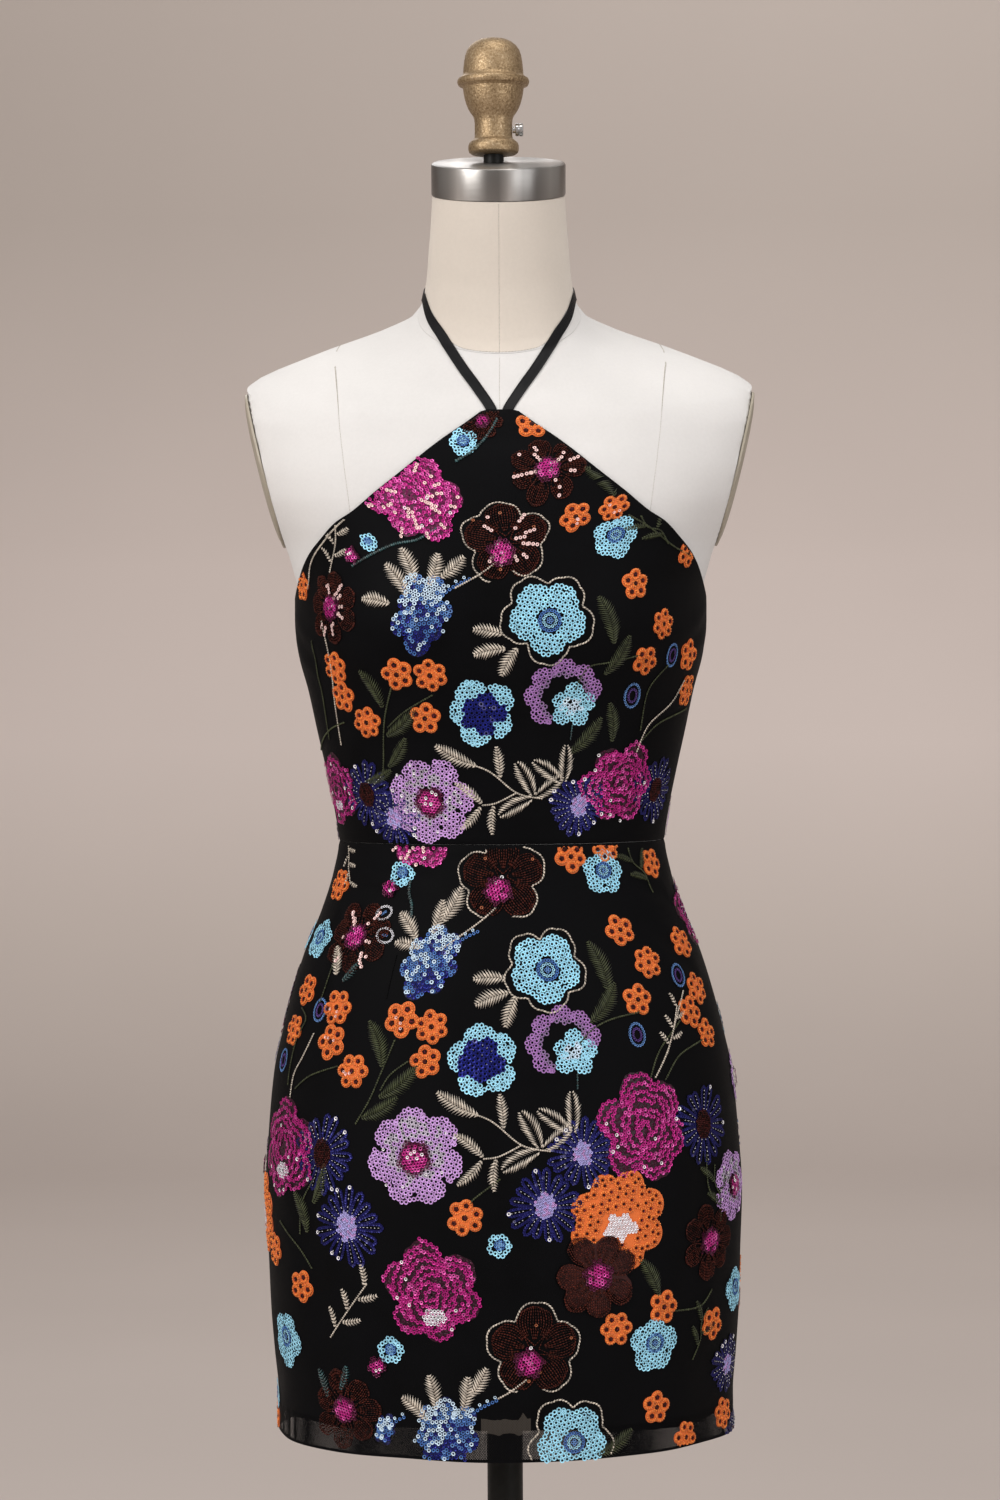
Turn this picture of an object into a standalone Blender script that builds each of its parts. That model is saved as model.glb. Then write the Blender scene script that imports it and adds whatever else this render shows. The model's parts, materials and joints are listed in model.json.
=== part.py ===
"""A short halter cocktail dress on a limbless dress form with a pole stand.

Metres, +Z up. The front faces -Y and +X is to the right of someone who looks at the front. The
origin is on the floor, under the pole. The dress has a front bodice cut in a tall halter point,
a low back in two halves with a zip, a three-piece skirt, a strip of lining at the hem and two
ribbons that meet behind the neck. Every cloth wall follows the form at a small clearance down to
the hip, and hangs free below it.
"""

import math
from collections import namedtuple

import bmesh
import bpy
from mathutils import Matrix, Vector
from mathutils.bvhtree import BVHTree

MM = 0.001

# Driving dimensions
WAIST = 1.040  # height of the waist seam
HEM = 0.593  # height of the skirt's edge
LINING_EDGE = 0.610  # height of the lining's edge, above the sheer band of the skirt
SKIRT_ROWS, LINING_ROWS = 14, 3  # rows of faces; the lining spans the skirt's lowest rows
SIDE_TOP = 1.219  # height of the bodice at the side seams
BACK_TOP = 1.197  # height of the bodice at the centre back
ZIP_END = 0.870
SEAM = 0.3 * MM  # clearance between neighbouring pieces
SIDE_GAP = 0.2 * MM  # half the clearance at a side seam
CLEAR = 1.2 * MM  # clearance between the form and the dress
WALL = 1.6 * MM  # thickness of the embroidered cloth
LINING_WALL = 1.2 * MM
LINING_IN = 0.9 * MM  # the lining's outer face, inside the skirt's inner face at CLEAR
ZIP_HALF = 1.7 * MM
STRAP_HALF = 3.8 * MM
STRAP_WALL = 1.1 * MM
STRAP_CLEAR = 0.7 * MM
FASTENER_LIFT = 1.7 * MM  # from the neck to the middle of the hook and loop
STRAP_APART = 7.4 * MM  # from the middle to each ribbon, at the halter point
POLE_RADIUS = 13.5 * MM
CAP_HEIGHT = 24 * MM
CAP_MIDDLE = Vector((0, -20 * MM, 1523.9 * MM))  # centre of the cap's lower face
CAP_LEAN = math.radians(14)  # the neck and its cap lean forward
FINIAL_X = -3.5 * MM
ARM_PLANE_X = 0.1614  # half width between the arm plates' seats, at ARM_PLANE_Z
ARM_PLANE_Z = 1.260
ARM_SLOPE = 0.246  # the seats lean outward by this much for each unit up
ARM_CUT_LOW = 1.245
BUST_HEIGHT = 1.207
BUST_RISE = 17 * MM
BUST_TURN = 0.60  # how far round from the centre front each bust point lies, in radians
BUST_SPREAD_TURN = 0.44
BUST_SPREAD_HEIGHT = 0.052

# Level rings of the form: millimetres, and the slope of a ring's plane from front to back.
Section = namedtuple("Section", "height half_width front back tilt")
TORSO = [
    Section(680, 146.0, 96.0, 116.0, 0.00),
    Section(700, 155.0, 101.0, 124.0, 0.00),
    Section(740, 166.0, 107.0, 132.0, 0.00),
    Section(790, 172.0, 111.0, 137.0, 0.00),
    Section(830, 173.5, 113.0, 138.0, 0.00),
    Section(865, 171.5, 113.0, 135.0, 0.00),
    Section(896, 164.6, 111.0, 127.0, 0.00),
    Section(926, 156.6, 108.5, 118.0, 0.00),
    Section(956, 147.1, 104.5, 108.0, 0.00),
    Section(986, 134.6, 98.5, 97.0, 0.00),
    Section(1016, 125.0, 93.5, 90.0, 0.00),
    Section(1040, 120.8, 91.0, 87.0, 0.00),
    Section(1062, 123.6, 93.0, 88.5, 0.00),
    Section(1092, 129.6, 97.0, 92.0, 0.00),
    Section(1123, 136.5, 102.0, 97.0, 0.00),
    Section(1153, 142.9, 107.0, 101.5, 0.00),
    Section(1183, 150.5, 111.0, 105.0, 0.00),
    Section(1206, 152.8, 113.0, 107.0, 0.00),
    Section(1229, 152.9, 114.0, 109.0, 0.00),
    Section(1244, 156.5, 114.0, 110.0, 0.00),
    Section(1260, 161.5, 113.5, 110.5, 0.00),
    Section(1280, 175.0, 112.0, 111.0, 0.02),
    Section(1300, 189.0, 109.0, 111.0, 0.05),
    Section(1330, 200.0, 102.0, 110.5, 0.12),
    Section(1360, 203.0, 93.0, 107.0, 0.25),
    Section(1380, 191.0, 87.0, 99.0, 0.34),
    Section(1395, 154.0, 82.0, 88.0, 0.42),
    Section(1410, 106.0, 76.0, 73.0, 0.50),
    Section(1425, 74.0, 70.0, 60.0, 0.55),
    Section(1438, 61.5, 62.0, 53.0, 0.60),
]
NECK = [
    Section(1438, 61.5, 62.0, 53.0, 0.60),
    Section(1445, 58.8, 58.5, 47.0, 0.58),
    Section(1456, 56.2, 57.0, 40.5, 0.52),
    Section(1471, 54.0, 57.5, 34.5, 0.44),
    Section(1486, 52.8, 60.0, 31.0, 0.37),
    Section(1501, 51.4, 63.0, 29.5, 0.31),
    Section(1528.6, 49.6, 68.6, 28.6, 0.25),
]
# Where the skirt hangs free of the form, below the hip.
HANGING = [
    Section(590, 169.8, 116.0, 134.0, 0.0),
    Section(620, 169.8, 116.5, 135.5, 0.0),
    Section(653, 172.6, 117.0, 137.0, 0.0),
    Section(684, 175.0, 117.5, 138.5, 0.0),
    Section(729, 176.8, 118.0, 140.0, 0.0),
    Section(775, 178.6, 118.0, 141.0, 0.0),
    Section(820, 176.0, 116.5, 140.0, 0.0),
]
HIP = 865  # the lowest ring where the skirt lies on the form
CLOTH = HANGING + [s for s in TORSO if s.height >= HIP]

# The halter edge of the front bodice: millimetres.
Edge = namedtuple("Edge", "height half_width")
HALTER = [
    Edge(1221, 153.0),
    Edge(1239, 147.4),
    Edge(1253, 140.5),
    Edge(1267, 129.0),
    Edge(1276, 120.0),
    Edge(1284, 107.0),
    Edge(1297, 91.0),
    Edge(1311, 73.0),
    Edge(1337, 40.0),
    Edge(1347, 25.5),
    Edge(1357, 12.0),
]
# Soft waves of the skirt's free edge: millimetres, and how many go round.
Wave = namedtuple("Wave", "height count turn")
WAVES = [Wave(1.6, 5, 0.7), Wave(0.9, 8, 2.1), Wave(0.6, 13, 4.0)]

# Turned outlines: radius and height in millimetres, from the axis round to the axis.
Turned = namedtuple("Turned", "radius height")
FINIAL = [
    Turned(0, 1552.9),
    Turned(16.5, 1552.9),
    Turned(18.9, 1555.0),
    Turned(18.9, 1560.6),
    Turned(17.2, 1562.8),
    Turned(14.4, 1564.2),
    Turned(14.0, 1567.0),
    Turned(14.0, 1580.0),
    Turned(18.0, 1583.5),
    Turned(20.4, 1588.5),
    Turned(22.2, 1594.0),
    Turned(23.4, 1599.0),
    Turned(23.8, 1603.5),
    Turned(26.6, 1604.8),
    Turned(27.3, 1606.6),
    Turned(27.3, 1609.6),
    Turned(26.4, 1611.6),
    Turned(22.4, 1613.6),
    Turned(22.4, 1615.4),
    Turned(23.6, 1618.6),
    Turned(23.8, 1623.0),
    Turned(22.8, 1628.6),
    Turned(19.8, 1634.0),
    Turned(15.5, 1638.0),
    Turned(9.0, 1640.8),
    Turned(0, 1641.8),
]
CAP = [
    Turned(0, 0),
    Turned(49.6, 0),
    Turned(50.3, 0.7),
    Turned(50.3, 23.0),
    Turned(49.3, 24.0),
    Turned(0, 24.0),
]
POLE_TOP = 673.4
POLE_FOOT = 20.3
SOCKET = 13.8  # radius of the two sockets that hold the pole
COLLAR = [
    Turned(0, 673.7),
    Turned(SOCKET, 673.7),
    Turned(SOCKET, 650.0),
    Turned(18.0, 650.0),
    Turned(19.0, 651.0),
    Turned(19.0, 671.0),
    Turned(21.0, 673.0),
    Turned(35.0, 674.0),
    Turned(35.0, 679.7),
    Turned(0, 679.7),
]
BASE = [
    Turned(0, 0),
    Turned(196.0, 0),
    Turned(200.0, 3.0),
    Turned(200.0, 7.0),
    Turned(197.0, 10.5),
    Turned(150.0, 13.5),
    Turned(60.0, 17.0),
    Turned(32.0, 22.0),
    Turned(24.0, 30.0),
    Turned(21.0, 44.0),
    Turned(21.0, 53.0),
    Turned(19.5, 55.0),
    Turned(SOCKET, 55.0),
    Turned(SOCKET, 20.0),
    Turned(0, 20.0),
]

POINT_TURN = 0.060  # the turn at a corner of the halter's blunt point
HALTER_COLUMNS = 32
ROUND_FORM = 40  # facets round the torso
COLOURS = {
    "black_cloth": ((0.012, 0.011, 0.013), 0.7, 0.0),
    "black_satin": ((0.015, 0.015, 0.017), 0.35, 0.0),
    "canvas": ((0.84, 0.81, 0.76), 0.85, 0.0),
    "jersey": ((0.75, 0.66, 0.55), 0.85, 0.0),
    "plate": ((0.50, 0.46, 0.40), 0.5, 0.0),
    "steel": ((0.55, 0.55, 0.55), 0.32, 1.0),
    "bronze": ((0.32, 0.20, 0.10), 0.45, 1.0),
    "black_paint": ((0.02, 0.02, 0.02), 0.45, 0.2),
}


def clear_scene():
    for item in list(bpy.data.objects):
        bpy.data.objects.remove(item, do_unlink=True)


def material(name):
    """The named material, made once."""
    made = bpy.data.materials.get(name)
    if made is None:
        colour, roughness, metallic = COLOURS[name]
        made = bpy.data.materials.new(name)
        made.use_nodes = True
        shader = made.node_tree.nodes["Principled BSDF"]
        shader.inputs["Base Color"].default_value = (*colour, 1)
        shader.inputs["Roughness"].default_value = roughness
        shader.inputs["Metallic"].default_value = metallic
    return made


def finish(name, mesh_builder, finish_name, smooth=True):
    """Turns a bmesh into the named object."""
    bmesh.ops.recalc_face_normals(mesh_builder, faces=mesh_builder.faces)
    mesh = bpy.data.meshes.new(name)
    mesh_builder.to_mesh(mesh)
    mesh_builder.free()
    if smooth:
        mesh.shade_smooth()
        mesh.set_sharp_from_angle(angle=math.radians(35))
    made = bpy.data.objects.new(name, mesh)
    made.data.materials.append(material(finish_name))
    bpy.context.collection.objects.link(made)
    return made


def steady(rows, column, height):
    """A named column of a table at a height, on a curve that never overshoots its rows."""
    highs = [row.height * MM for row in rows]
    values = [getattr(row, column) for row in rows]
    if height <= highs[0]:
        return values[0]
    if height >= highs[-1]:
        return values[-1]
    i = next(k for k in range(len(highs) - 1) if height <= highs[k + 1])

    def rate(k):
        return (values[k + 1] - values[k]) / (highs[k + 1] - highs[k])

    def slope(k):
        if k == 0 or k == len(highs) - 1:
            return rate(0 if k == 0 else k - 1)
        before, after = rate(k - 1), rate(k)
        return 0.0 if before * after <= 0 else 2 * before * after / (before + after)

    step = highs[i + 1] - highs[i]
    t = (height - highs[i]) / step
    return (
        values[i] * (1 + 2 * t) * (1 - t) ** 2
        + slope(i) * step * t * (1 - t) ** 2
        + values[i + 1] * t * t * (3 - 2 * t)
        + slope(i + 1) * step * t * t * (t - 1)
    )


def bust(height, turn):
    """How far the bust stands forward of the plain ring."""
    up = math.exp(-(((height - BUST_HEIGHT) / BUST_SPREAD_HEIGHT) ** 2))
    around = sum(
        math.exp(-(((turn - side * BUST_TURN) / BUST_SPREAD_TURN) ** 2)) for side in (-1, 1)
    )
    return BUST_RISE * up * around


def ring_point(rows, height, turn):
    """A point of the sections in rows. Turn is 0 at the centre front and grows towards +X."""
    front, back = (steady(rows, side, height) * MM for side in ("front", "back"))
    x = steady(rows, "half_width", height) * MM * math.sin(turn)
    y = (back - front) / 2 - (back + front) / 2 * math.cos(turn)
    away = turn - 2 * math.pi * round(turn / (2 * math.pi))
    y -= bust(height, away)
    return Vector((x, y, height + steady(rows, "tilt", height) * y))


def offset_point(rows, height, turn, out):
    """The same point, moved out along the surface's normal."""
    across = ring_point(rows, height, turn + 0.01) - ring_point(rows, height, turn - 0.01)
    up = ring_point(rows, height + 0.001, turn) - ring_point(rows, height - 0.001, turn)
    return ring_point(rows, height, turn) + across.cross(up).normalized() * out


def wave(height, turn):
    """The skirt's waves, which grow from the hip down to the free edge."""
    fall = max(0.0, (HIP * MM - height) / (HIP * MM - HEM))
    return fall**1.5 * MM * sum(w.height * math.sin(w.count * turn + w.turn) for w in WAVES)


def cloth_point(height, turn, out):
    """A point of the dress, out from the form's surface."""
    return offset_point(CLOTH, height, turn, out + wave(height, turn))


def ring_height(level, turn):
    """The height of the tilted ring that passes through a level, at a turn."""
    height = level
    for _ in range(24):
        height = level - steady(CLOTH, "tilt", height) * ring_point(CLOTH, height, turn).y
    return height


def wall(name, place, rows, columns, inner, outer, finish_name="black_cloth"):
    """A closed cloth wall. place(column share, row share) gives a height and a turn."""
    made = bmesh.new()
    layers = []
    for out in (inner, outer):
        layers.append(
            [
                [
                    made.verts.new(cloth_point(*place(c / columns, r / rows), out))
                    for c in range(columns + 1)
                ]
                for r in range(rows + 1)
            ]
        )
    for grid in layers:
        for r in range(rows):
            for c in range(columns):
                made.faces.new(
                    (grid[r][c], grid[r][c + 1], grid[r + 1][c + 1], grid[r + 1][c])
                )
    border = [(0, c) for c in range(columns)]
    border += [(r, columns) for r in range(rows)]
    border += [(rows, c) for c in range(columns, 0, -1)]
    border += [(r, 0) for r in range(rows, 0, -1)]
    inside, outside = layers
    for here, there in zip(border, border[1:] + border[:1]):
        (r0, c0), (r1, c1) = here, there
        made.faces.new(
            (inside[r0][c0], inside[r1][c1], outside[r1][c1], outside[r0][c0])
        )
    return finish(name, made, finish_name)


def side_turn(height):
    """The turn of a side seam, short of it by half the clearance."""
    return math.pi / 2 - SIDE_GAP / (steady(CLOTH, "half_width", height) * MM)


def back_turn(height, half_gap):
    """The turn of a line that runs beside the centre back."""
    return math.pi - math.asin(half_gap / (steady(CLOTH, "half_width", height) * MM))


def zip_gap(height):
    """Half the gap between the back pieces: room for the zip, and a plain seam under it."""
    return ZIP_HALF + SEAM if height > ZIP_END - MM else SEAM / 2


def halter_top(turn):
    """The height of the halter edge's ring at a turn, or of the side seam's top."""
    if abs(turn) < 1e-6:
        return ring_height(HALTER[-1].height * MM, turn)
    low, high = SIDE_TOP, HALTER[-1].height * MM
    for _ in range(24):
        level = (low + high) / 2
        reach = steady(CLOTH, "half_width", ring_height(level, turn)) * math.sin(abs(turn))
        if reach < steady(HALTER, "half_width", level):
            low = level
        else:
            high = level
    return ring_height(low, turn)


def halter_place(s, t):
    """Upright columns from the waist to the halter edge, two of them under the blunt point."""
    low = WAIST + SEAM / 2
    side = 2 * s - 1
    reach = abs(side) * HALTER_COLUMNS / 2
    if reach <= 1:
        turn = POINT_TURN * reach
    else:
        turn = POINT_TURN + (side_turn(low) - POINT_TURN) * (reach - 1) / (HALTER_COLUMNS / 2 - 1)
    turn = math.copysign(turn, side)
    height = low + (halter_top(turn) - low) * t
    turn = max(-side_turn(height), min(side_turn(height), turn))
    return height, turn


def back_bodice_place(side):
    def place(s, t):
        """Share s is 0 at the side seam and 1 at the centre back."""
        low = WAIST + SEAM / 2
        top = BACK_TOP + (SIDE_TOP - BACK_TOP) * math.cos(s * math.pi / 2) ** 2
        height = low + (top - low) * t
        start = math.pi - side_turn(height)
        turn = start + (back_turn(height, zip_gap(height)) - start) * s
        return height, side * turn

    return place


def skirt_height(t):
    """Half of the rows lie above the zip's end and half below it."""
    top = WAIST - SEAM / 2
    return top + (ZIP_END - top) * 2 * t if t <= 0.5 else ZIP_END + (HEM - ZIP_END) * (2 * t - 1)


def skirt_front_place(s, t):
    height = skirt_height(t)
    return height, side_turn(height) * (2 * s - 1)


def skirt_back_place(side):
    def place(s, t):
        height = skirt_height(t)
        start = math.pi - side_turn(height)
        turn = start + (back_turn(height, zip_gap(height)) - start) * s
        return height, side * turn

    return place


def lining_place(s, t):
    """The strip's rows lie at the skirt's own rows, and the last one at its edge."""
    height = max(LINING_EDGE, skirt_height(1 - LINING_ROWS * (1 - t) / SKIRT_ROWS))
    end = back_turn(height, SEAM / 2)
    return height, end * (2 * s - 1)


def zip_place(s, t):
    height = BACK_TOP + (ZIP_END + MM - BACK_TOP) * t
    return height, math.pi + (math.pi - back_turn(height, ZIP_HALF)) * (1 - 2 * s)


def dress():
    outer = CLEAR + WALL
    wall("bodice_front", halter_place, 18, HALTER_COLUMNS, CLEAR, outer)
    wall("skirt_front", skirt_front_place, SKIRT_ROWS, 24, CLEAR, outer)
    for side, name in ((-1, "left"), (1, "right")):
        wall(f"bodice_back_{name}", back_bodice_place(side), 11, 12, CLEAR, outer)
        wall(f"skirt_back_{name}", skirt_back_place(side), SKIRT_ROWS, 12, CLEAR, outer)
    wall("skirt_lining", lining_place, LINING_ROWS, 48, LINING_IN - LINING_WALL, LINING_IN)
    wall("zip_chain", zip_place, 26, 1, CLEAR, outer, "black_satin")


def lofted(name, rows, heights, around, finish_name):
    """A closed solid through level rings."""
    made = bmesh.new()
    rings = [
        [
            made.verts.new(ring_point(rows, height, 2 * math.pi * k / around))
            for k in range(around)
        ]
        for height in heights
    ]
    for low, high in zip(rings, rings[1:]):
        for k in range(around):
            n = (k + 1) % around
            made.faces.new((low[k], low[n], high[n], high[k]))
    made.faces.new(rings[0])
    made.faces.new(rings[-1])
    return finish(name, made, finish_name)


def cutter(name, corners):
    """A hidden box through eight corners, for a Boolean."""
    made = bmesh.new()
    low = [made.verts.new(c) for c in corners[:4]]
    high = [made.verts.new(c) for c in corners[4:]]
    made.faces.new(low)
    made.faces.new(high)
    for k in range(4):
        n = (k + 1) % 4
        made.faces.new((low[k], low[n], high[n], high[k]))
    box = finish(name, made, "canvas", smooth=False)
    box.hide_render = True
    box.display_type = "WIRE"
    return box


def arm_x(height):
    return ARM_PLANE_X + ARM_SLOPE * (height - ARM_PLANE_Z)


def torso():
    """The torso, with a flat seat cut at each side for the arm plates."""
    heights = [s.height * MM for s in TORSO]
    middles = [(a + b) / 2 for a, b in zip(heights, heights[1:]) if b > 0.9 and b - a > 0.020]
    rings = sorted(heights + middles)
    body = lofted("form_torso", TORSO, rings, ROUND_FORM, "canvas")
    far, deep, top = 0.3, 0.15, 1.45
    for side, name in ((-1, "left"), (1, "right")):
        corners = []
        for z in (ARM_CUT_LOW, top):
            near = side * arm_x(z)
            corners += [
                (near, -deep, z),
                (side * far, -deep, z),
                (side * far, deep, z),
                (near, deep, z),
            ]
        cut = body.modifiers.new(f"seat_{name}", "BOOLEAN")
        cut.operation = "DIFFERENCE"
        cut.solver = "EXACT"
        cut.object = cutter(f"cut_{name}", corners)
    return body


def neck():
    """The neck stands on the torso's seam and carries the cap."""
    lift = SEAM / math.cos(math.atan(NECK[0].tilt))
    rows = [NECK[0]._replace(height=NECK[0].height + lift / MM)] + NECK[1:]
    heights = [row.height * MM for row in rows]
    return lofted("form_neck", rows, heights, 32, "jersey")


def turned(name, outline, around, finish_name, placed=None):
    """A solid of revolution about +Z, then moved by a matrix."""
    made = bmesh.new()
    rings = []
    for row in outline:
        if row.radius == 0:
            rings.append([made.verts.new((0, 0, row.height * MM))])
            continue
        angles = [2 * math.pi * k / around for k in range(around)]
        rings.append(
            [
                made.verts.new(
                    (
                        row.radius * MM * math.cos(a),
                        row.radius * MM * math.sin(a),
                        row.height * MM,
                    )
                )
                for a in angles
            ]
        )
    for low, high in zip(rings, rings[1:]):
        for k in range(around):
            n = (k + 1) % around
            corners = [low[k % len(low)], low[n % len(low)], high[n % len(high)], high[k % len(high)]]
            made.faces.new(list(dict.fromkeys(corners)))
    made_object = finish(name, made, finish_name)
    if placed is not None:
        made_object.data.transform(placed)
    return made_object


def cap_matrix():
    return Matrix.Translation(CAP_MIDDLE) @ Matrix.Rotation(CAP_LEAN, 4, "X")


def cap_and_finial():
    turned("neck_cap", CAP, 40, "steel", cap_matrix())
    top = CAP_MIDDLE + Matrix.Rotation(CAP_LEAN, 3, "X") @ Vector((0, 0, CAP_HEIGHT))
    middle = Matrix.Translation((FINIAL_X, top.y, 0))
    turned("finial", FINIAL, 20, "bronze", middle)
    rod_radius = 7.6 * MM
    rod_top = FINIAL[0].height * MM - SEAM
    made = bmesh.new()
    angles = [2 * math.pi * k / 16 for k in range(16)]
    rim = [(FINIAL_X + rod_radius * math.cos(a), top.y + rod_radius * math.sin(a)) for a in angles]
    foot = [
        made.verts.new((x, y, top.z + math.tan(CAP_LEAN) * (y - top.y) + SEAM * 1.1)) for x, y in rim
    ]
    head = [made.verts.new((x, y, rod_top)) for x, y in rim]
    made.faces.new(foot)
    made.faces.new(head)
    for k in range(16):
        n = (k + 1) % 16
        made.faces.new((foot[k], foot[n], head[n], head[k]))
    finish("finial_rod", made, "black_paint")
    screw = [Turned(0, 0), Turned(2.6, 0), Turned(2.6, 2.4), Turned(4.7, 2.8), Turned(4.9, 7.0)]
    screw += [Turned(4.2, 8.0), Turned(0, 8.0)]
    neck_radius = 14.0 * MM
    seat = Matrix.Translation((FINIAL_X + neck_radius + SEAM, top.y, 1571.5 * MM))
    turned("finial_screw", screw, 16, "steel", seat @ Matrix.Rotation(math.pi / 2, 4, "Y"))


def arm_plates():
    """A domed oval on each flat seat."""
    middle_z, half_tall, half_wide = 1.3195, 58.0 * MM, 45.5 * MM
    middle_y = 1.0 * MM
    Dome = namedtuple("Dome", "share rise")
    domes = [Dome(1, 0), Dome(1, 1.8), Dome(0.93, 3.2), Dome(0.76, 4.5), Dome(0.45, 5.3)]
    lean = math.atan(ARM_SLOPE)
    for side, name in ((-1, "left"), (1, "right")):
        up = Vector((side * math.sin(lean), 0, math.cos(lean)))
        out = Vector((side * math.cos(lean), 0, -math.sin(lean)))
        centre = Vector((side * arm_x(middle_z), middle_y, middle_z)) + out * SEAM
        made = bmesh.new()
        rings = []
        for dome in domes:
            ring = []
            for k in range(24):
                angle = 2 * math.pi * k / 24
                tall = up * math.sin(angle) * half_tall / math.cos(lean)
                wide = Vector((0, math.cos(angle) * half_wide, 0))
                ring.append(
                    made.verts.new(centre + (tall + wide) * dome.share + out * dome.rise * MM)
                )
            rings.append(ring)
        for low, high in zip(rings, rings[1:]):
            for k in range(24):
                n = (k + 1) % 24
                made.faces.new((low[k], low[n], high[n], high[k]))
        made.faces.new(rings[0])
        made.faces.new(rings[-1])
        finish(f"arm_plate_{name}", made, "plate")


def stand():
    pole = [Turned(0, POLE_FOOT), Turned(POLE_RADIUS / MM, POLE_FOOT)]
    pole += [Turned(POLE_RADIUS / MM, POLE_TOP), Turned(0, POLE_TOP)]
    turned("pole", pole, 24, "black_paint")
    turned("pole_collar", COLLAR, 24, "black_paint")
    turned("base", BASE, 40, "black_paint")


def form_surface(bodies):
    """A search tree of the form's skin, for what lies on it."""
    points, faces = [], []
    for body in bodies:
        evaluated = body.evaluated_get(bpy.context.evaluated_depsgraph_get())
        mesh = evaluated.to_mesh()
        start = len(points)
        points += [v.co.copy() for v in mesh.vertices]
        faces += [[start + i for i in p.vertices] for p in mesh.polygons]
        evaluated.to_mesh_clear()
    return BVHTree.FromPolygons(points, faces)


# The left ribbon's middle line: first as seen from the front, then round the neck.
Seen = namedtuple("Seen", "x height")
Around = namedtuple("Around", "turn height")
STRAP_FRONT = [Seen(STRAP_APART / MM, 1359.3), Seen(17.0, 1375.0), Seen(26.5, 1389.0)]
STRAP_FRONT += [Seen(35.5, 1404.0), Seen(44.0, 1419.0), Seen(51.5, 1432.0)]
STRAP_ROUND = [Around(80, 1446.5), Around(95, 1451.5), Around(112, 1459.5)]
STRAP_ROUND += [Around(130, 1467.0), Around(148, 1473.5), Around(163, 1477.0)]
STRAP_ROUND += [Around(174, 1478.5)]


def smooth_path(points, per_span):
    """Points on a smooth curve through the given ones."""
    held = [points[0], *points, points[-1]]
    path = []
    for a, b, c, d in zip(held, held[1:], held[2:], held[3:]):
        for k in range(per_span):
            t = k / per_span
            path.append(
                0.5 * (2 * b + (c - a) * t + (2 * a - 5 * b + 4 * c - d) * t * t
                       + (3 * b - 3 * c + d - a) * t**3)
            )
    return path + [points[-1]]


def strap(side, name, skin):
    """A flat ribbon that lies on the form from the halter point to the nape."""
    points = []
    for seen in STRAP_FRONT:
        start = Vector((side * seen.x * MM, -0.5, seen.height * MM))
        points.append(skin.ray_cast(start, Vector((0, 1, 0)))[0])
    for around in STRAP_ROUND:
        turn = side * math.radians(around.turn)
        inward = Vector((-math.sin(turn), math.cos(turn), 0))
        start = Vector((0, -6 * MM, around.height * MM)) - inward * 0.2
        points.append(skin.ray_cast(start, inward)[0])
    path = smooth_path(points, 3)
    made = bmesh.new()
    rings = []
    for i, here in enumerate(path):
        along = (path[min(i + 1, len(path) - 1)] - path[max(i - 1, 0)]).normalized()
        normal = skin.find_nearest(here)[1]
        across = along.cross(normal).normalized()
        outward = across.cross(along).normalized()
        ring = []
        for share, lift in ((-1, 0), (0, 0), (1, 0), (1, 1), (0, 1), (-1, 1)):
            edge = here + across * share * STRAP_HALF
            hit = skin.ray_cast(edge + outward * 8 * MM, -outward, 16 * MM)[0] or edge
            ring.append(made.verts.new(hit + outward * (STRAP_CLEAR + STRAP_WALL * lift)))
        rings.append(ring)
    for low, high in zip(rings, rings[1:]):
        for k in range(6):
            n = (k + 1) % 6
            made.faces.new((low[k], low[n], high[n], high[k]))
    made.faces.new(rings[0])
    made.faces.new(rings[-1])
    finish(name, made, "black_satin")
    return path[-1]


def block(made, centre, size, axes):
    """Adds a box with its edges along the given axes to a bmesh."""
    corners = []
    for k in (-0.5, 0.5):
        for i, j in ((-0.5, -0.5), (0.5, -0.5), (0.5, 0.5), (-0.5, 0.5)):
            place = centre + axes[0] * size[0] * i + axes[1] * size[1] * j + axes[2] * size[2] * k
            corners.append(made.verts.new(place))
    made.faces.new(corners[:4])
    made.faces.new(corners[4:])
    for k in range(4):
        n = (k + 1) % 4
        made.faces.new((corners[k], corners[n], corners[4 + n], corners[4 + k]))


def plate(made, outline, centre, axes, thick):
    """Adds a flat plate with the given outline, in axes 0 and 1, to a bmesh."""
    faces = []
    for k in (-0.5, 0.5):
        ring = [
            made.verts.new(centre + axes[0] * u * MM + axes[1] * v * MM + axes[2] * thick * k)
            for u, v in outline
        ]
        made.faces.new(ring)
        faces.append(ring)
    low, high = faces
    for k in range(len(low)):
        n = (k + 1) % len(low)
        made.faces.new((low[k], low[n], high[n], high[k]))


ZIP_TOP = 1.1885  # height of the slider's middle
SLIDER = Vector((5.0, 9.0, 2.2)) * MM  # width, length and thickness
BRIDGE = 2.4 * MM  # the pull's axis above the slider's face


def slider_frame():
    """The slider's middle and its own axes: across, up the zip and out of the cloth."""
    here = cloth_point(ZIP_TOP, math.pi, CLEAR + WALL + SEAM + SLIDER.z / 2)
    low = cloth_point(ZIP_TOP - 5 * MM, math.pi, 0)
    high = cloth_point(ZIP_TOP + 5 * MM, math.pi, 0)
    up = (high - low).normalized()
    across = Vector((1, 0, 0))
    return here, across, up, across.cross(up) * -1


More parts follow.
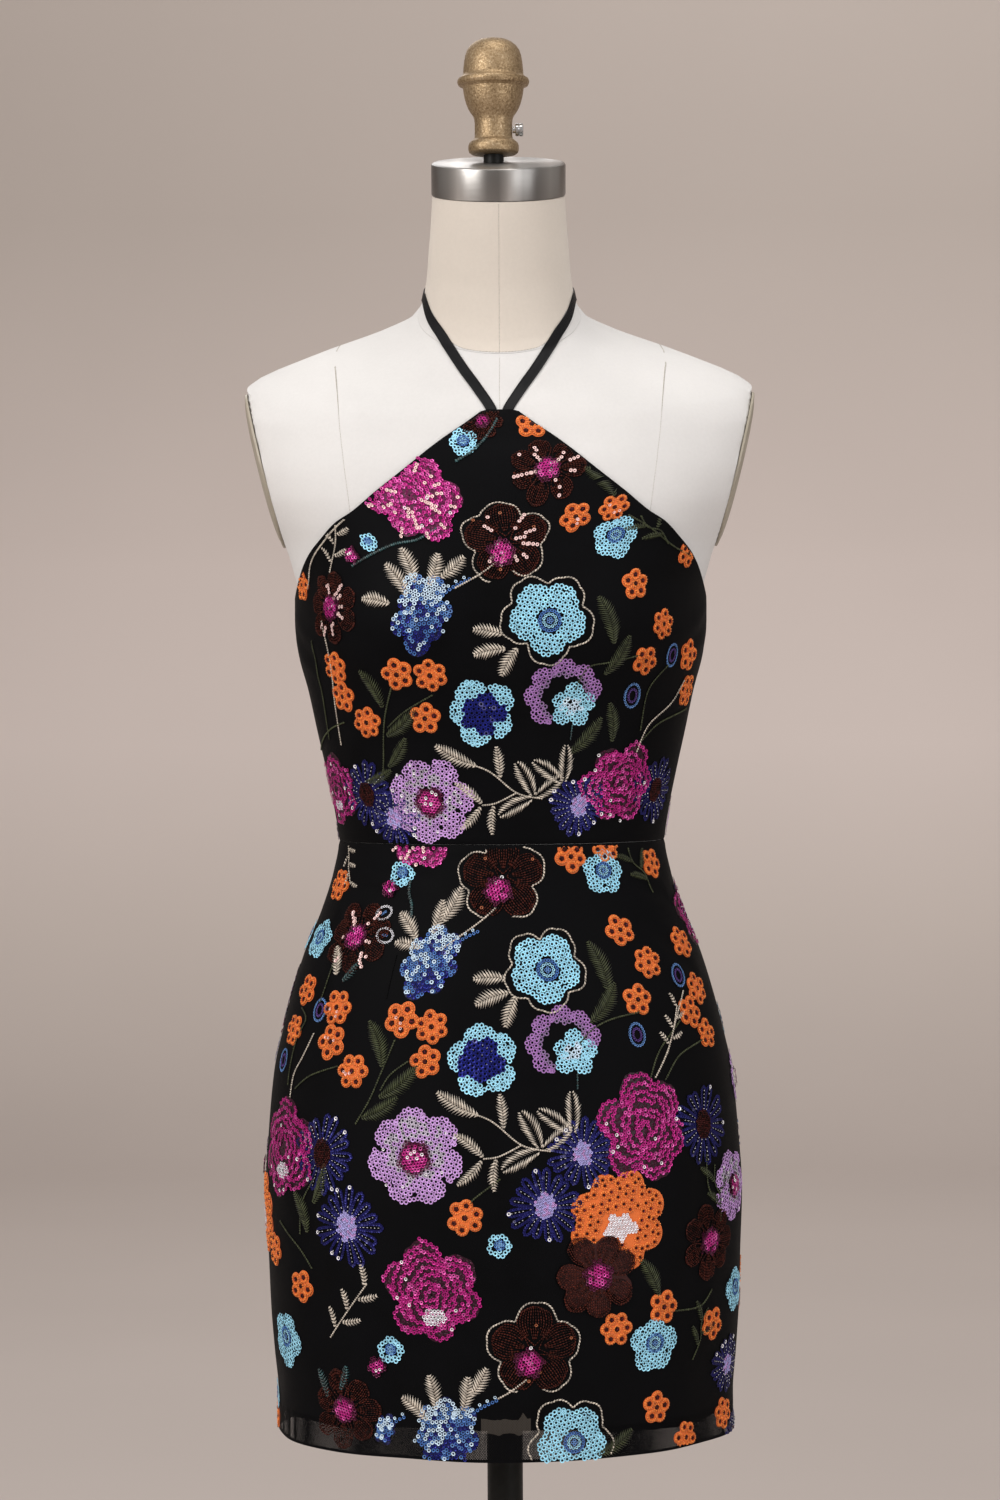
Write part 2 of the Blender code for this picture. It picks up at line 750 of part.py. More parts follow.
def zip_hardware():
    """The slider with its bridge, and the pull tab that swings on it."""
    here, across, up, out = slider_frame()
    made = bmesh.new()
    block(made, here, SLIDER, (across, up, out))
    slider = finish("zip_slider", made, "steel")
    arch = bmesh.new()
    half, post, top = 2.4, 0.7, (SLIDER.z / 2 + BRIDGE) / MM + 0.4
    outline = [(-half, 0), (-half, top), (half, top), (half, 0), (half - post, 0)]
    outline += [(half - post, top - 0.8), (post - half, top - 0.8), (post - half, 0)]
    plate(arch, outline, here, (across, out, up), 0.8 * MM)
    bridge = finish("cut_bridge", arch, "steel")
    bridge.hide_render = True
    bridge.display_type = "WIRE"
    joined = slider.modifiers.new("bridge", "BOOLEAN")
    joined.operation = "UNION"
    joined.solver = "EXACT"
    joined.object = bridge
    axis = here + out * (SLIDER.z / 2 + BRIDGE)
    pull(axis)


def pull(axis):
    """A ring round the bridge and a slim leaf that hangs from it."""
    ring_out, ring_in, half_thick = 1.8, 0.95, 1.1
    made = bmesh.new()
    angles = [2 * math.pi * (k + 0.5) / 12 for k in range(12)]
    rings = []
    for radius, x in ((ring_in, -1), (ring_out, -1), (ring_out, 1), (ring_in, 1)):
        rings.append(
            [
                made.verts.new(
                    (x * half_thick * MM, radius * MM * math.sin(a), -radius * MM * math.cos(a))
                )
                for a in angles
            ]
        )
    for low, high in zip(rings, rings[1:] + rings[:1]):
        for k in range(12):
            n = (k + 1) % 12
            made.faces.new((low[k], low[n], high[n], high[k]))
    ring = finish("zip_pull", made, "steel")
    leaf_mesh = bmesh.new()
    leaf = [(-0.9, -1.2), (-1.0, -5.0), (-1.9, -9.0), (-2.3, -14.0), (-1.9, -18.5), (-0.8, -20.5)]
    leaf += [(-x, z) for x, z in reversed(leaf)]
    plate(leaf_mesh, leaf, Vector(), (Vector((1, 0, 0)), Vector((0, 0, 1)), Vector((0, 1, 0))), MM)
    hidden = finish("cut_leaf", leaf_mesh, "steel")
    hidden.hide_render = True
    hidden.display_type = "WIRE"
    joined = ring.modifiers.new("leaf", "BOOLEAN")
    joined.operation = "UNION"
    joined.solver = "EXACT"
    joined.object = hidden
    for item in (ring, hidden):
        item.location = axis


def neck_fastener(left_end, right_end, skin):
    """A flat hook on one ribbon that reaches through the loop on the other."""
    middle = (left_end + right_end) / 2
    across = (right_end - left_end).normalized()
    seat, normal = skin.find_nearest(middle)[:2]
    up = normal.cross(across).normalized()
    if up.z < 0:
        up = -up
    out = normal - across * across.dot(normal)
    out.normalize()
    axes = (across, up, out)
    reach = (right_end - left_end).length / 2 - 2 * SEAM
    centre = seat + out * FASTENER_LIFT
    eye = bmesh.new()
    edge, bar, tall = reach / MM, 1.2, 3.6
    loop = [(edge, -tall), (edge, tall), (0.4, tall), (0.4, tall - bar), (edge - 1.4, tall - bar)]
    loop += [(edge - 1.4, bar - tall), (0.4, bar - tall), (0.4, -tall)]
    plate(eye, loop, centre, axes, 1.0 * MM)
    finish("neck_eye", eye, "steel")
    hook = bmesh.new()
    tongue = [(-edge, -tall), (-edge, tall), (-1.0, tall), (-0.2, 1.6), (edge - 1.8, 1.6)]
    tongue += [(edge - 1.8, -1.6), (-0.2, -1.6), (-1.0, -tall)]
    plate(hook, tongue, centre, axes, 1.0 * MM)
    finish("neck_hook", hook, "steel")


def main():
    clear_scene()
    body = torso()
    throat = neck()
    cap_and_finial()
    arm_plates()
    stand()
    dress()
    skin = form_surface((body, throat))
    ends = [strap(side, f"strap_{name}", skin) for side, name in ((-1, "left"), (1, "right"))]
    neck_fastener(*ends, skin)
    zip_hardware()


main()
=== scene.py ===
"""The looks of a short halter cocktail dress on a limbless dress form.

Metres, +Z up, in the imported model's frame: the front faces -Y and +X is the viewer's right. The
cloth is laid on the form by the same rings of sections as the solids. Every flower and leaf is
made by a formula from its kind, place and size, and is sewn onto the cloth's surface as rings
(sequins) and links (stitches of thread).
"""

import json
import math
from collections import namedtuple

import bmesh
import bpy
import numpy as np
from mathutils import Matrix, Vector
from mathutils.bvhtree import BVHTree

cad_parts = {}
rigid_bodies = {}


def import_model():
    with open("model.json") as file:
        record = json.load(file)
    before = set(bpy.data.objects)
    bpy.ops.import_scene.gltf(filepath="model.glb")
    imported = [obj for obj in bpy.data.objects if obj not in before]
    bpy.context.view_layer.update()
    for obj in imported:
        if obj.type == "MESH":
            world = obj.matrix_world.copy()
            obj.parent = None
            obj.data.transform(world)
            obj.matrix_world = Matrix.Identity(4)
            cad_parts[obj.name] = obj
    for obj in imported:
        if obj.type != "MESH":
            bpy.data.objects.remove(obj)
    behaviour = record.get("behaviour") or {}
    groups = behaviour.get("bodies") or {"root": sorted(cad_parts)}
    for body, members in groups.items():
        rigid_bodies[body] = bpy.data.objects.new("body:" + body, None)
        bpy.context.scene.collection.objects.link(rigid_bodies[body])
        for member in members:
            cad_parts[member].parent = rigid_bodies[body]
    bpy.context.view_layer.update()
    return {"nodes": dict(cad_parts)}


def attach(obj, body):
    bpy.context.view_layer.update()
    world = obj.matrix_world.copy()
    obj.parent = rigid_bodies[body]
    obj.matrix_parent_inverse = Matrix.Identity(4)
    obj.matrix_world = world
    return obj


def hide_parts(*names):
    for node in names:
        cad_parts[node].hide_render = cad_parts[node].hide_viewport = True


MM = 0.001
BODY = "dress_and_form"
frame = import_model()

# ---------------------------------------------------------------- sizes shared with the solids
WAIST, HEM, LINING_EDGE, LINING_TOP = 1.040, 0.593, 0.610, 0.700
SIDE_TOP, BACK_TOP, ZIP_END = 1.219, 1.197, 0.870
SEAM, SIDE_GAP, ZIP_HALF = 0.3 * MM, 0.2 * MM, 1.7 * MM
CLEAR, WALL, LINING_IN = 1.2 * MM, 1.6 * MM, 0.9 * MM
ARM_PLANE_X, ARM_PLANE_Z, ARM_SLOPE, ARM_CUT_LOW = 0.1614, 1.260, 0.246, 1.245
BUST_HEIGHT, BUST_RISE, BUST_TURN = 1.207, 17 * MM, 0.60
BUST_SPREAD_TURN, BUST_SPREAD_HEIGHT = 0.44, 0.052
CAP_MIDDLE = Vector((0, -20 * MM, 1523.9 * MM))
CAP_LEAN = math.radians(14)
CAP_RADIUS = 50.3 * MM
FINIAL_X = -3.5 * MM
SCREW_HEIGHT = 1.5715

Section = namedtuple("Section", "height half_width front back tilt")
TORSO = [Section(*row) for row in (
    (680, 146, 96, 116, 0), (700, 155, 101, 124, 0), (740, 166, 107, 132, 0), (790, 172, 111, 137, 0),
    (830, 173.5, 113, 138, 0), (865, 171.5, 113, 135, 0), (896, 164.6, 111, 127, 0),
    (926, 156.6, 108.5, 118, 0), (956, 147.1, 104.5, 108, 0), (986, 134.6, 98.5, 97, 0),
    (1016, 125, 93.5, 90, 0), (1040, 120.8, 91, 87, 0), (1062, 123.6, 93, 88.5, 0),
    (1092, 129.6, 97, 92, 0), (1123, 136.5, 102, 97, 0), (1153, 142.9, 107, 101.5, 0),
    (1183, 150.5, 111, 105, 0), (1206, 152.8, 113, 107, 0), (1229, 152.9, 114, 109, 0),
    (1244, 156.5, 114, 110, 0), (1260, 161.5, 113.5, 110.5, 0), (1280, 175, 112, 111, 0.02),
    (1300, 189, 109, 111, 0.05), (1330, 200, 102, 110.5, 0.12), (1360, 203, 93, 107, 0.25),
    (1380, 191, 87, 99, 0.34), (1395, 154, 82, 88, 0.42), (1410, 106, 76, 73, 0.50),
    (1425, 74, 70, 60, 0.55), (1438, 61.5, 62, 53, 0.60),
)]
NECK = [Section(*row) for row in (
    (1438.35, 61.5, 62, 53, 0.60), (1445, 58.8, 58.5, 47, 0.58), (1456, 56.2, 57, 40.5, 0.52),
    (1471, 54, 57.5, 34.5, 0.44), (1486, 52.8, 60, 31, 0.37), (1501, 51.4, 63, 29.5, 0.31),
    (1528.6, 49.6, 68.6, 28.6, 0.25),
)]
HANGING = [Section(*row) for row in (
    (590, 169.8, 116, 134, 0), (620, 169.8, 116.5, 135.5, 0), (653, 172.6, 117, 137, 0),
    (684, 175, 117.5, 138.5, 0), (729, 176.8, 118, 140, 0), (775, 178.6, 118, 141, 0),
    (820, 176, 116.5, 140, 0),
)]
HIP = 865
CLOTH = HANGING + [s for s in TORSO if s.height >= HIP]
Edge = namedtuple("Edge", "height half_width")
HALTER = [Edge(*row) for row in (
    (1221, 153), (1239, 147.4), (1253, 140.5), (1267, 129), (1276, 120), (1284, 107), (1297, 91),
    (1311, 73), (1337, 40), (1347, 25.5), (1357, 12),
)]
Wave = namedtuple("Wave", "height count turn")
WAVES = [Wave(1.6, 5, 0.7), Wave(0.9, 8, 2.1), Wave(0.6, 13, 4.0)]

# ---------------------------------------------------------------- the camera's view
PICTURE_WIDTH, PICTURE_HEIGHT = 1000, 1500
CAMERA_FAR = 2.6  # from the camera to the pole
METRES_PER_PIXEL = 0.000757  # in the pole's plane
EYE_ROW = 690  # the picture's row at the camera's own height
EYE_X, EYE_HEIGHT = -0.00106, 1.153
ROLL = math.radians(0.30)  # the picture leans to the left by this much
SENSOR = 36.0  # millimetres
BACKDROP_FAR = 7.2  # from the pole to the wall behind


def steady(rows, column, height):
    """A named column of a table at some heights, on a curve that never overshoots its rows."""
    height = np.asarray(height, float)
    high = np.array([row.height * MM for row in rows])
    value = np.array([getattr(row, column) for row in rows])
    rate = np.diff(value) / np.diff(high)
    slope = np.empty(len(high))
    slope[0], slope[-1] = rate[0], rate[-1]
    product = rate[:-1] * rate[1:]
    total = np.where(rate[:-1] + rate[1:] == 0, 1, rate[:-1] + rate[1:])
    slope[1:-1] = np.where(product <= 0, 0, 2 * product / total)
    h = np.clip(height, high[0], high[-1])
    i = np.clip(np.searchsorted(high, h) - 1, 0, len(high) - 2)
    step = high[i + 1] - high[i]
    t = (h - high[i]) / step
    return (
        value[i] * (1 + 2 * t) * (1 - t) ** 2
        + slope[i] * step * t * (1 - t) ** 2
        + value[i + 1] * t * t * (3 - 2 * t)
        + slope[i + 1] * step * t * t * (t - 1)
    )


def unit(v):
    """Vectors of length one."""
    return v / np.maximum(np.linalg.norm(v, axis=-1, keepdims=True), 1e-12)


def wrapped(turn):
    """The same turn, from -pi to pi."""
    return turn - 2 * np.pi * np.round(turn / (2 * np.pi))


def ring_points(rows, height, turn):
    """Points of the sections. Turn is 0 at the centre front and grows towards +X."""
    height, turn = np.broadcast_arrays(np.asarray(height, float), np.asarray(turn, float))
    front, back = steady(rows, "front", height) * MM, steady(rows, "back", height) * MM
    x = steady(rows, "half_width", height) * MM * np.sin(turn)
    y = (back - front) / 2 - (back + front) / 2 * np.cos(turn)
    away = wrapped(turn)
    up = np.exp(-(((height - BUST_HEIGHT) / BUST_SPREAD_HEIGHT) ** 2))
    around = sum(np.exp(-(((away - s * BUST_TURN) / BUST_SPREAD_TURN) ** 2)) for s in (-1, 1))
    y = y - BUST_RISE * up * around
    return np.stack((x, y, height + steady(rows, "tilt", height) * y), -1)


def offset_points(rows, height, turn, out):
    """Points that stand out from the sections, square to them."""
    across = ring_points(rows, height, turn + 0.01) - ring_points(rows, height, turn - 0.01)
    up = ring_points(rows, height + MM, turn) - ring_points(rows, height - MM, turn)
    normal = unit(np.cross(across, up))
    return ring_points(rows, height, turn) + normal * np.asarray(out)[..., None]


# Soft creases of the cloth: ends as turn (degrees) and height (mm), depth and half width in mm.
Crease = namedtuple("Crease", "turn0 height0 turn1 height1 depth wide")
CREASES = [Crease(*row) for row in (
    (-62, 985, -50, 938, 1.1, 7), (-70, 1012, -40, 1004, 0.8, 6), (-58, 1020, -24, 1015, 0.6, 5),
    (36, 1016, 66, 1000, 0.9, 6), (48, 985, 68, 940, 0.8, 8), (20, 955, 44, 900, 0.5, 9),
    (-40, 1062, -70, 1078, 0.8, 6), (42, 1060, 72, 1074, 0.8, 6), (60, 1180, 84, 1206, 1, 7),
    (-62, 1172, -84, 1200, 0.9, 7), (-30, 1150, -52, 1100, 0.6, 10), (30, 1150, 50, 1096, 0.6, 10),
    (-20, 905, -28, 790, 0.6, 12), (-55, 820, -48, 660, 1, 14), (12, 800, 16, 640, 0.7, 14),
    (58, 850, 50, 680, 1, 13), (120, 1010, 158, 1002, 1, 6), (-118, 1012, -160, 1006, 1, 6),
    (128, 985, 148, 960, 0.8, 8), (-125, 990, -150, 968, 0.8, 8), (112, 1066, 150, 1072, 1.1, 6),
    (-110, 1068, -152, 1076, 1, 6), (124, 830, 132, 660, 1, 14), (-128, 840, -136, 650, 1.1, 14),
    (160, 800, 164, 640, 0.7, 13), (-158, 790, -166, 640, 0.8, 13),
)]


def folds(height, turn):
    """How far the cloth stands out from its plain form, in metres."""
    fall = np.clip((HIP * MM - height) / (HIP * MM - HEM), 0, None)
    out = fall**1.5 * sum(w.height * np.sin(w.count * turn + w.turn) for w in WAVES)
    degrees = np.degrees(wrapped(turn))
    per_degree = 2.6  # millimetres round the dress for one degree
    for c in CREASES:
        ax, ay = c.turn0 * per_degree, c.height0
        bx, by = c.turn1 * per_degree, c.height1
        px, py = degrees * per_degree, height / MM
        share = ((px - ax) * (bx - ax) + (py - ay) * (by - ay)) / ((bx - ax) ** 2 + (by - ay) ** 2)
        held = np.clip(share, 0, 1)
        gap = np.hypot(px - ax - held * (bx - ax), py - ay - held * (by - ay)) / c.wide
        swell = np.exp(-((gap - 1.6) ** 2)) * 0.55 - np.exp(-(gap**2))
        out = out + c.depth * swell * np.exp(-(((share - 0.5) / 0.62) ** 4))
    return out * MM


class Surface:
    """An outer face on a fine grid of heights and turns, as the camera and the stitches see it."""

    def __init__(self, table, low, high, rows, out=0.0, folded=False):
        self.low, self.high, self.rows, self.columns = low, high, rows, 1441
        heights = np.linspace(low, high, rows)[:, None]
        turns = np.linspace(-np.pi, np.pi, self.columns)[None, :]
        lift = out + (folds(heights, turns) if folded else 0 * heights * turns)
        self.points = offset_points(table, heights, turns, lift)
        up = np.gradient(self.points, axis=0)
        across = np.gradient(self.points, axis=1)
        across[:, 0] = across[:, -1] = self.points[:, 1] - self.points[:, -2]
        self.normals = unit(np.cross(across, up))
        self.per_turn = np.linalg.norm(across, axis=-1) / (2 * np.pi / (self.columns - 1))
        self.per_turn[:, 0] = self.per_turn[:, 1]
        self.per_turn[:, -1] = self.per_turn[:, -2]
        self.per_height = np.linalg.norm(up, axis=-1) / ((high - low) / (rows - 1))
        self.heights, turns = heights[:, 0], turns[0]
        front = np.abs(turns) < math.radians(97)
        self.front_turns = turns[front]
        self.seen = to_picture(self.points[:, front])

    def look(self, grid, height, turn):
        """Values of a grid between its corners."""
        turn = wrapped(turn)
        r = (height - self.low) / (self.high - self.low) * (self.rows - 1)
        c = (turn + np.pi) / (2 * np.pi) * (self.columns - 1)
        r, c = np.clip(r, 0, self.rows - 1.001), np.clip(c, 0, self.columns - 1.001)
        i, j = r.astype(int), c.astype(int)
        a, b = r - i, c - j
        if grid.ndim == 3:
            a, b = a[..., None], b[..., None]
        low = grid[i, j] * (1 - b) + grid[i, j + 1] * b
        high = grid[i + 1, j] * (1 - b) + grid[i + 1, j + 1] * b
        return low * (1 - a) + high * a

    def at(self, height, turn, lift):
        """Points over the face. Lift is in metres."""
        height, turn, lift = np.broadcast_arrays(height, turn, lift)
        return (
            self.look(self.points, height, turn)
            + unit(self.look(self.normals, height, turn)) * lift[..., None]
        )

    def under(self, column, row):
        """The height and turn of the face that the camera sees at a place in the picture."""
        gap = (self.seen[0] - column) ** 2 + (self.seen[1] - row) ** 2
        i, j = np.unravel_index(np.argmin(gap), gap.shape)
        return self.heights[i], self.front_turns[j]


def to_picture(points):
    """The picture's column and row of points in the frame."""
    far = CAMERA_FAR + points[..., 1]
    scale = METRES_PER_PIXEL / CAMERA_FAR * far
    across = (points[..., 0] - EYE_X) / scale
    down = EYE_ROW - (points[..., 2] - EYE_HEIGHT) / scale - PICTURE_HEIGHT / 2
    c, s = math.cos(ROLL), math.sin(ROLL)
    return PICTURE_WIDTH / 2 + across * c + down * s, PICTURE_HEIGHT / 2 + down * c - across * s


CLOTH_OUT = CLEAR + WALL - 0.3 * MM
cloth = Surface(CLOTH, HEM - 0.004, 1.402, 806, CLOTH_OUT, True)
torso = Surface(TORSO, 0.680, 1.4383, 500)
neck = Surface(NECK, 1.43835, 1.5286, 120)


def ring_height(level, turn):
    """The height of the tilted ring through a level, at some turns."""
    height = np.asarray(level, float) + 0 * turn
    for _ in range(24):
        height = level - steady(CLOTH, "tilt", height) * ring_points(CLOTH, height, turn)[..., 1]
    return height


def halter_tops(turns):
    """The halter edge's ring height at some turns from the centre front."""
    turns = np.abs(turns)
    low, high = np.full(turns.shape, SIDE_TOP), np.full(turns.shape, HALTER[-1].height * MM)
    for _ in range(24):
        level = (low + high) / 2
        reach = steady(CLOTH, "half_width", ring_height(level, turns)) * np.sin(turns)
        inside = reach < steady(HALTER, "half_width", level)
        low, high = np.where(inside, level, low), np.where(inside, high, level)
    return ring_height(low, turns)


TOP_TURNS = np.linspace(0, math.pi, 721)
BACK_SHARE = np.clip((TOP_TURNS - math.pi / 2) / (math.pi / 2), 0, 1)
TOP_HEIGHTS = np.where(
    TOP_TURNS < math.pi / 2,
    halter_tops(np.minimum(TOP_TURNS, math.pi / 2)),
    BACK_TOP + (SIDE_TOP - BACK_TOP) * np.cos(BACK_SHARE * math.pi / 2) ** 2,
)


def bodice_top(turn):
    """The ring height of the bodice's upper edge."""
    return np.interp(np.abs(turn), TOP_TURNS, TOP_HEIGHTS)


# ---------------------------------------------------------------- materials
# Linear colours.
INK = {
    "cloth": (0.0016, 0.0016, 0.0021),
    "light_blue": (0.36, 0.76, 0.97),
    "sky": (0.36, 0.70, 0.90),
    "ice": (0.62, 0.80, 0.96),
    "mid_blue": (0.060, 0.17, 0.48),
    "steel_blue": (0.12, 0.26, 0.58),
    "navy": (0.010, 0.010, 0.120),
    "royal": (0.012, 0.018, 0.230),
    "lilac": (0.38, 0.18, 0.48),
    "mauve": (0.58, 0.33, 0.72),
    "dusk": (0.50, 0.44, 0.55),
    "pale_lilac": (0.42, 0.38, 0.78),
    "violet": (0.09, 0.04, 0.22),
    "violet_grey": (0.26, 0.16, 0.33),
    "magenta": (0.47, 0.012, 0.21),
    "deep_magenta": (0.095, 0.003, 0.040),
    "pink": (0.68, 0.085, 0.38),
    "orange": (0.93, 0.22, 0.032),
    "burnt_orange": (0.74, 0.15, 0.020),
    "maroon": (0.052, 0.010, 0.006),
    "brown": (0.040, 0.007, 0.006),
    "garnet": (0.36, 0.04, 0.12),
    "copper": (0.42, 0.13, 0.055),
    # A painted glint colour: pale pink sequins that stand in for light flashing off sequins.
    "blush": (0.82, 0.56, 0.54),
    "beige": (0.56, 0.49, 0.41),
    "olive": (0.050, 0.058, 0.026),
    "teal": (0.014, 0.055, 0.060),
    "silver": (0.78, 0.78, 0.84),
    # A painted glint colour: white sequins that stand in for light flashing off sequins.
    "pearl": (0.90, 0.88, 0.90),
    "seam": (0.54, 0.50, 0.45),
}


class Nodes:
    """A short way to write a material's nodes."""

    def __init__(self, name):
        self.material = bpy.data.materials.new(name)
        self.material.use_nodes = True
        self.tree = self.material.node_tree
        self.inputs = self.tree.nodes["Principled BSDF"].inputs

    def new(self, kind, vector=None, **values):
        """A node of a kind, with its vector linked and its other values set."""
        node = self.tree.nodes.new("ShaderNode" + kind)
        if vector:
            self.link(vector, node.inputs["Vector"])
        for key, value in values.items():
            if key in node.inputs:
                node.inputs[key].default_value = value
            else:
                setattr(node, key, value)
        return node

    def link(self, out, into):
        self.tree.links.new(out, into)

    def set(self, **values):
        """Plain values of the material's main node."""
        for key, value in values.items():
            self.inputs[key.replace("_", " ")].default_value = value

    def coordinates(self, kind="Object"):
        return self.new("TexCoord").outputs[kind]

    def xyz(self):
        return self.new("SeparateXYZ", self.coordinates()).outputs

    def island(self):
        """A number of its own for every ring and stitch."""
        return self.new("NewGeometry").outputs["Random Per Island"]

    def noise(self, scale, detail=3, rough=0.5, vector=None):
        """Uneven spots over the object, or over a vector."""
        node = self.new("TexNoise", vector or self.coordinates(), Scale=scale, Detail=detail,
                        Roughness=rough)
        return node.outputs["Fac"]

    def ramp(self, value, stops):
        """Colours along a value. A stop is a place and a colour, or a place and a grey."""
        node = self.new("ValToRGB")
        marks = node.color_ramp.elements
        while len(marks) < len(stops):
            marks.new(0.5)
        for mark, (place, colour) in zip(marks, stops):
            mark.position = place
            mark.color = (*colour, 1) if isinstance(colour, tuple) else (colour, colour, colour, 1)
        self.link(value, node.inputs["Fac"])
        return node.outputs["Color"]

    def colour(self, value, *stops):
        self.link(self.ramp(value, stops), self.inputs["Base Color"])

    def roughness(self, value, low, high):
        self.link(self.ramp(value, [(0.3, low), (0.7, high)]), self.inputs["Roughness"])

    def bump(self, value, depth, strength=1.0):
        node = self.new("Bump", Strength=strength, Distance=depth)
        self.link(value, node.inputs["Height"])
        self.link(node.outputs["Normal"], self.inputs["Normal"])

    def maths(self, what, a, b=None):
        node = self.new("Math", operation=what)
        for i, value in enumerate((a, b)):
            if isinstance(value, (int, float)):
                node.inputs[i].default_value = value
            elif value is not None:
                self.link(value, node.inputs[i])
        return node.outputs["Value"]

    def mix(self, a, a_share, b, b_share):
        """The sum of shares of two values."""
        return self.maths("ADD", self.maths("MULTIPLY", a, a_share), self.maths("MULTIPLY", b, b_share))


def shade(colour, factor):
    """A lighter or darker colour."""
    return tuple(min(1.0, c * factor) for c in colour)


def sequin_material(name, metal, rough, spread, lit=0.0):
    """Thin coloured plastic: each ring has a tone of its own, and a lit share of the rings is whitened
    as painted glints.
    """
    n = Nodes("sequin_" + name)
    ink = INK[name]
    # The last stop whitens the lit share of the rings: painted glints.
    n.colour(n.island(), (0.0, shade(ink, 1 - spread)), (0.96 - lit, ink),
             (0.98 - lit, shade(ink, 1 + 0.5 * spread)),
             (1.0, tuple(c + (0.45 - 0.3 * c) * min(1.0, 12 * lit) for c in ink)))
    n.roughness(n.noise(900), rough - 0.08, rough + 0.12)
    n.set(Metallic=metal, Specular_IOR_Level=0.3)
    return n.material


def thread_material(name, rough, sheen, spread, coat=0.0, gloss=0.5):
    """Twisted rayon thread."""
    n = Nodes("thread_" + name)
    n.colour(n.island(), (0.0, shade(INK[name], 1 - spread)), (1.0, shade(INK[name], 1 + spread)))
    fibre = n.noise(2600, 2)
    n.roughness(fibre, rough - 0.1, rough + 0.15)
    n.bump(fibre, 0.12 * MM)
    n.set(Sheen_Weight=sheen, Sheen_Roughness=0.4, Coat_Weight=coat, Specular_IOR_Level=gloss)
    return n.material


def ground_material(name, darker):
    """Flat sequins packed close: rings stand out of a darker base."""
    n = Nodes("ground_" + name)
    gap = n.new("TexVoronoi", n.coordinates(), Scale=470.0).outputs["Distance"]
    n.colour(gap, *((place, shade(INK[name], tone * darker))
                    for place, tone in ((0.12, 0.25), (0.30, 1.6), (0.60, 0.4))))
    n.roughness(n.noise(700), 0.28, 0.5)
    n.bump(n.ramp(gap, [(0.10, 0.0), (0.28, 1.0), (0.50, 0.25), (0.62, 0.0)]), 0.4 * MM)
    n.set(Metallic=0.2, Specular_IOR_Level=0.3)
    return n.material


def net_height(n, cell):
    """A fine net with its threads raised, in the cloth's own map."""
    where = n.coordinates("UV")
    waves = []
    for degrees in (0, 60, -60):
        spin = n.new("Mapping", where, Rotation=(0, 0, math.radians(degrees)))
        wave = n.new("TexWave", spin.outputs["Vector"], Scale=1 / cell / 2, Distortion=0.0, Detail=0.0)
        waves.append(wave.outputs["Fac"])
    return n.maths("MAXIMUM", n.maths("MAXIMUM", waves[0], waves[1]), waves[2])


def by_the_pole(n, x, y, z):
    """1 on the small patch in front of the pole where the net is doubled, and 0 elsewhere."""
    low, high, middle, half_wide = 0.6135, 0.6240, 0.7 * MM, 18 * MM
    ragged = n.maths("MULTIPLY", n.maths("SUBTRACT", n.noise(70), 0.5), 9 * MM)
    across = n.maths("ABSOLUTE", n.maths("SUBTRACT", x, middle))
    peak = n.maths("ABSOLUTE", n.maths("SUBTRACT", x, 13 * MM))
    peak = n.maths("MAXIMUM", n.maths("SUBTRACT", 5 * MM, n.maths("MULTIPLY", peak, 1.4)), 0.0)
    height = n.maths("ADD", z, ragged)
    below = n.maths("LESS_THAN", n.maths("SUBTRACT", height, peak), high)
    inside = n.maths("MULTIPLY", below, n.maths("GREATER_THAN", height, low))
    inside = n.maths("MULTIPLY", inside, n.maths("LESS_THAN", across, half_wide))
    return n.maths("MULTIPLY", inside, n.maths("LESS_THAN", y, 0.0))


def cloth_material():
    """Black net over satin, and bare net below the lining's edge."""
    n = Nodes("black_net_over_satin")
    x, y, z = n.xyz()
    net = net_height(n, 1.5 * MM)
    mottled = n.noise(26)
    plain = n.ramp(mottled, [(0.3, shade(INK["cloth"], 0.8)), (0.75, shade(INK["cloth"], 1.5))])
    doubled = n.new("MixRGB", Color2=(0.050, 0.043, 0.037, 1))
    n.link(plain, doubled.inputs["Color1"])
    n.link(n.maths("MULTIPLY", net, by_the_pole(n, x, y, z)), doubled.inputs["Fac"])
    n.link(doubled.outputs["Color"], n.inputs["Base Color"])
    n.roughness(mottled, 0.55, 0.68)
    n.bump(net, 0.10 * MM, 0.6)
    sheer = n.maths("LESS_THAN", z, LINING_EDGE + 6 * MM)
    thread = n.maths("GREATER_THAN", net, 0.60)
    solid = n.maths("MAXIMUM", n.maths("SUBTRACT", 1.0, sheer), thread)
    folded = n.maths("LESS_THAN", z, HEM + 1.8 * MM)
    n.link(n.maths("MAXIMUM", solid, folded), n.inputs["Alpha"])
    n.set(Sheen_Weight=0.008, Sheen_Roughness=0.4, Specular_IOR_Level=0.05)
    return n.material


def plain_cloth_material(name, colour, rough, weave, depth, sheen):
    """A plain weave, faintly mottled."""
    n = Nodes(name)
    where = n.coordinates()
    threads = [n.new("TexWave", where, Scale=weave, Distortion=0.6, Detail=2.0, bands_direction=way)
               for way in "XZ"]
    fine = n.noise(420, 4)
    n.colour(n.mix(n.noise(9), 0.7, fine, 0.3), (0.3, shade(colour, 0.93)), (0.7, shade(colour, 1.04)))
    n.roughness(fine, rough - 0.06, rough + 0.06)
    n.bump(n.maths("ADD", *(wave.outputs["Fac"] for wave in threads)), depth)
    n.set(Sheen_Weight=sheen, Sheen_Roughness=0.5)
    return n.material


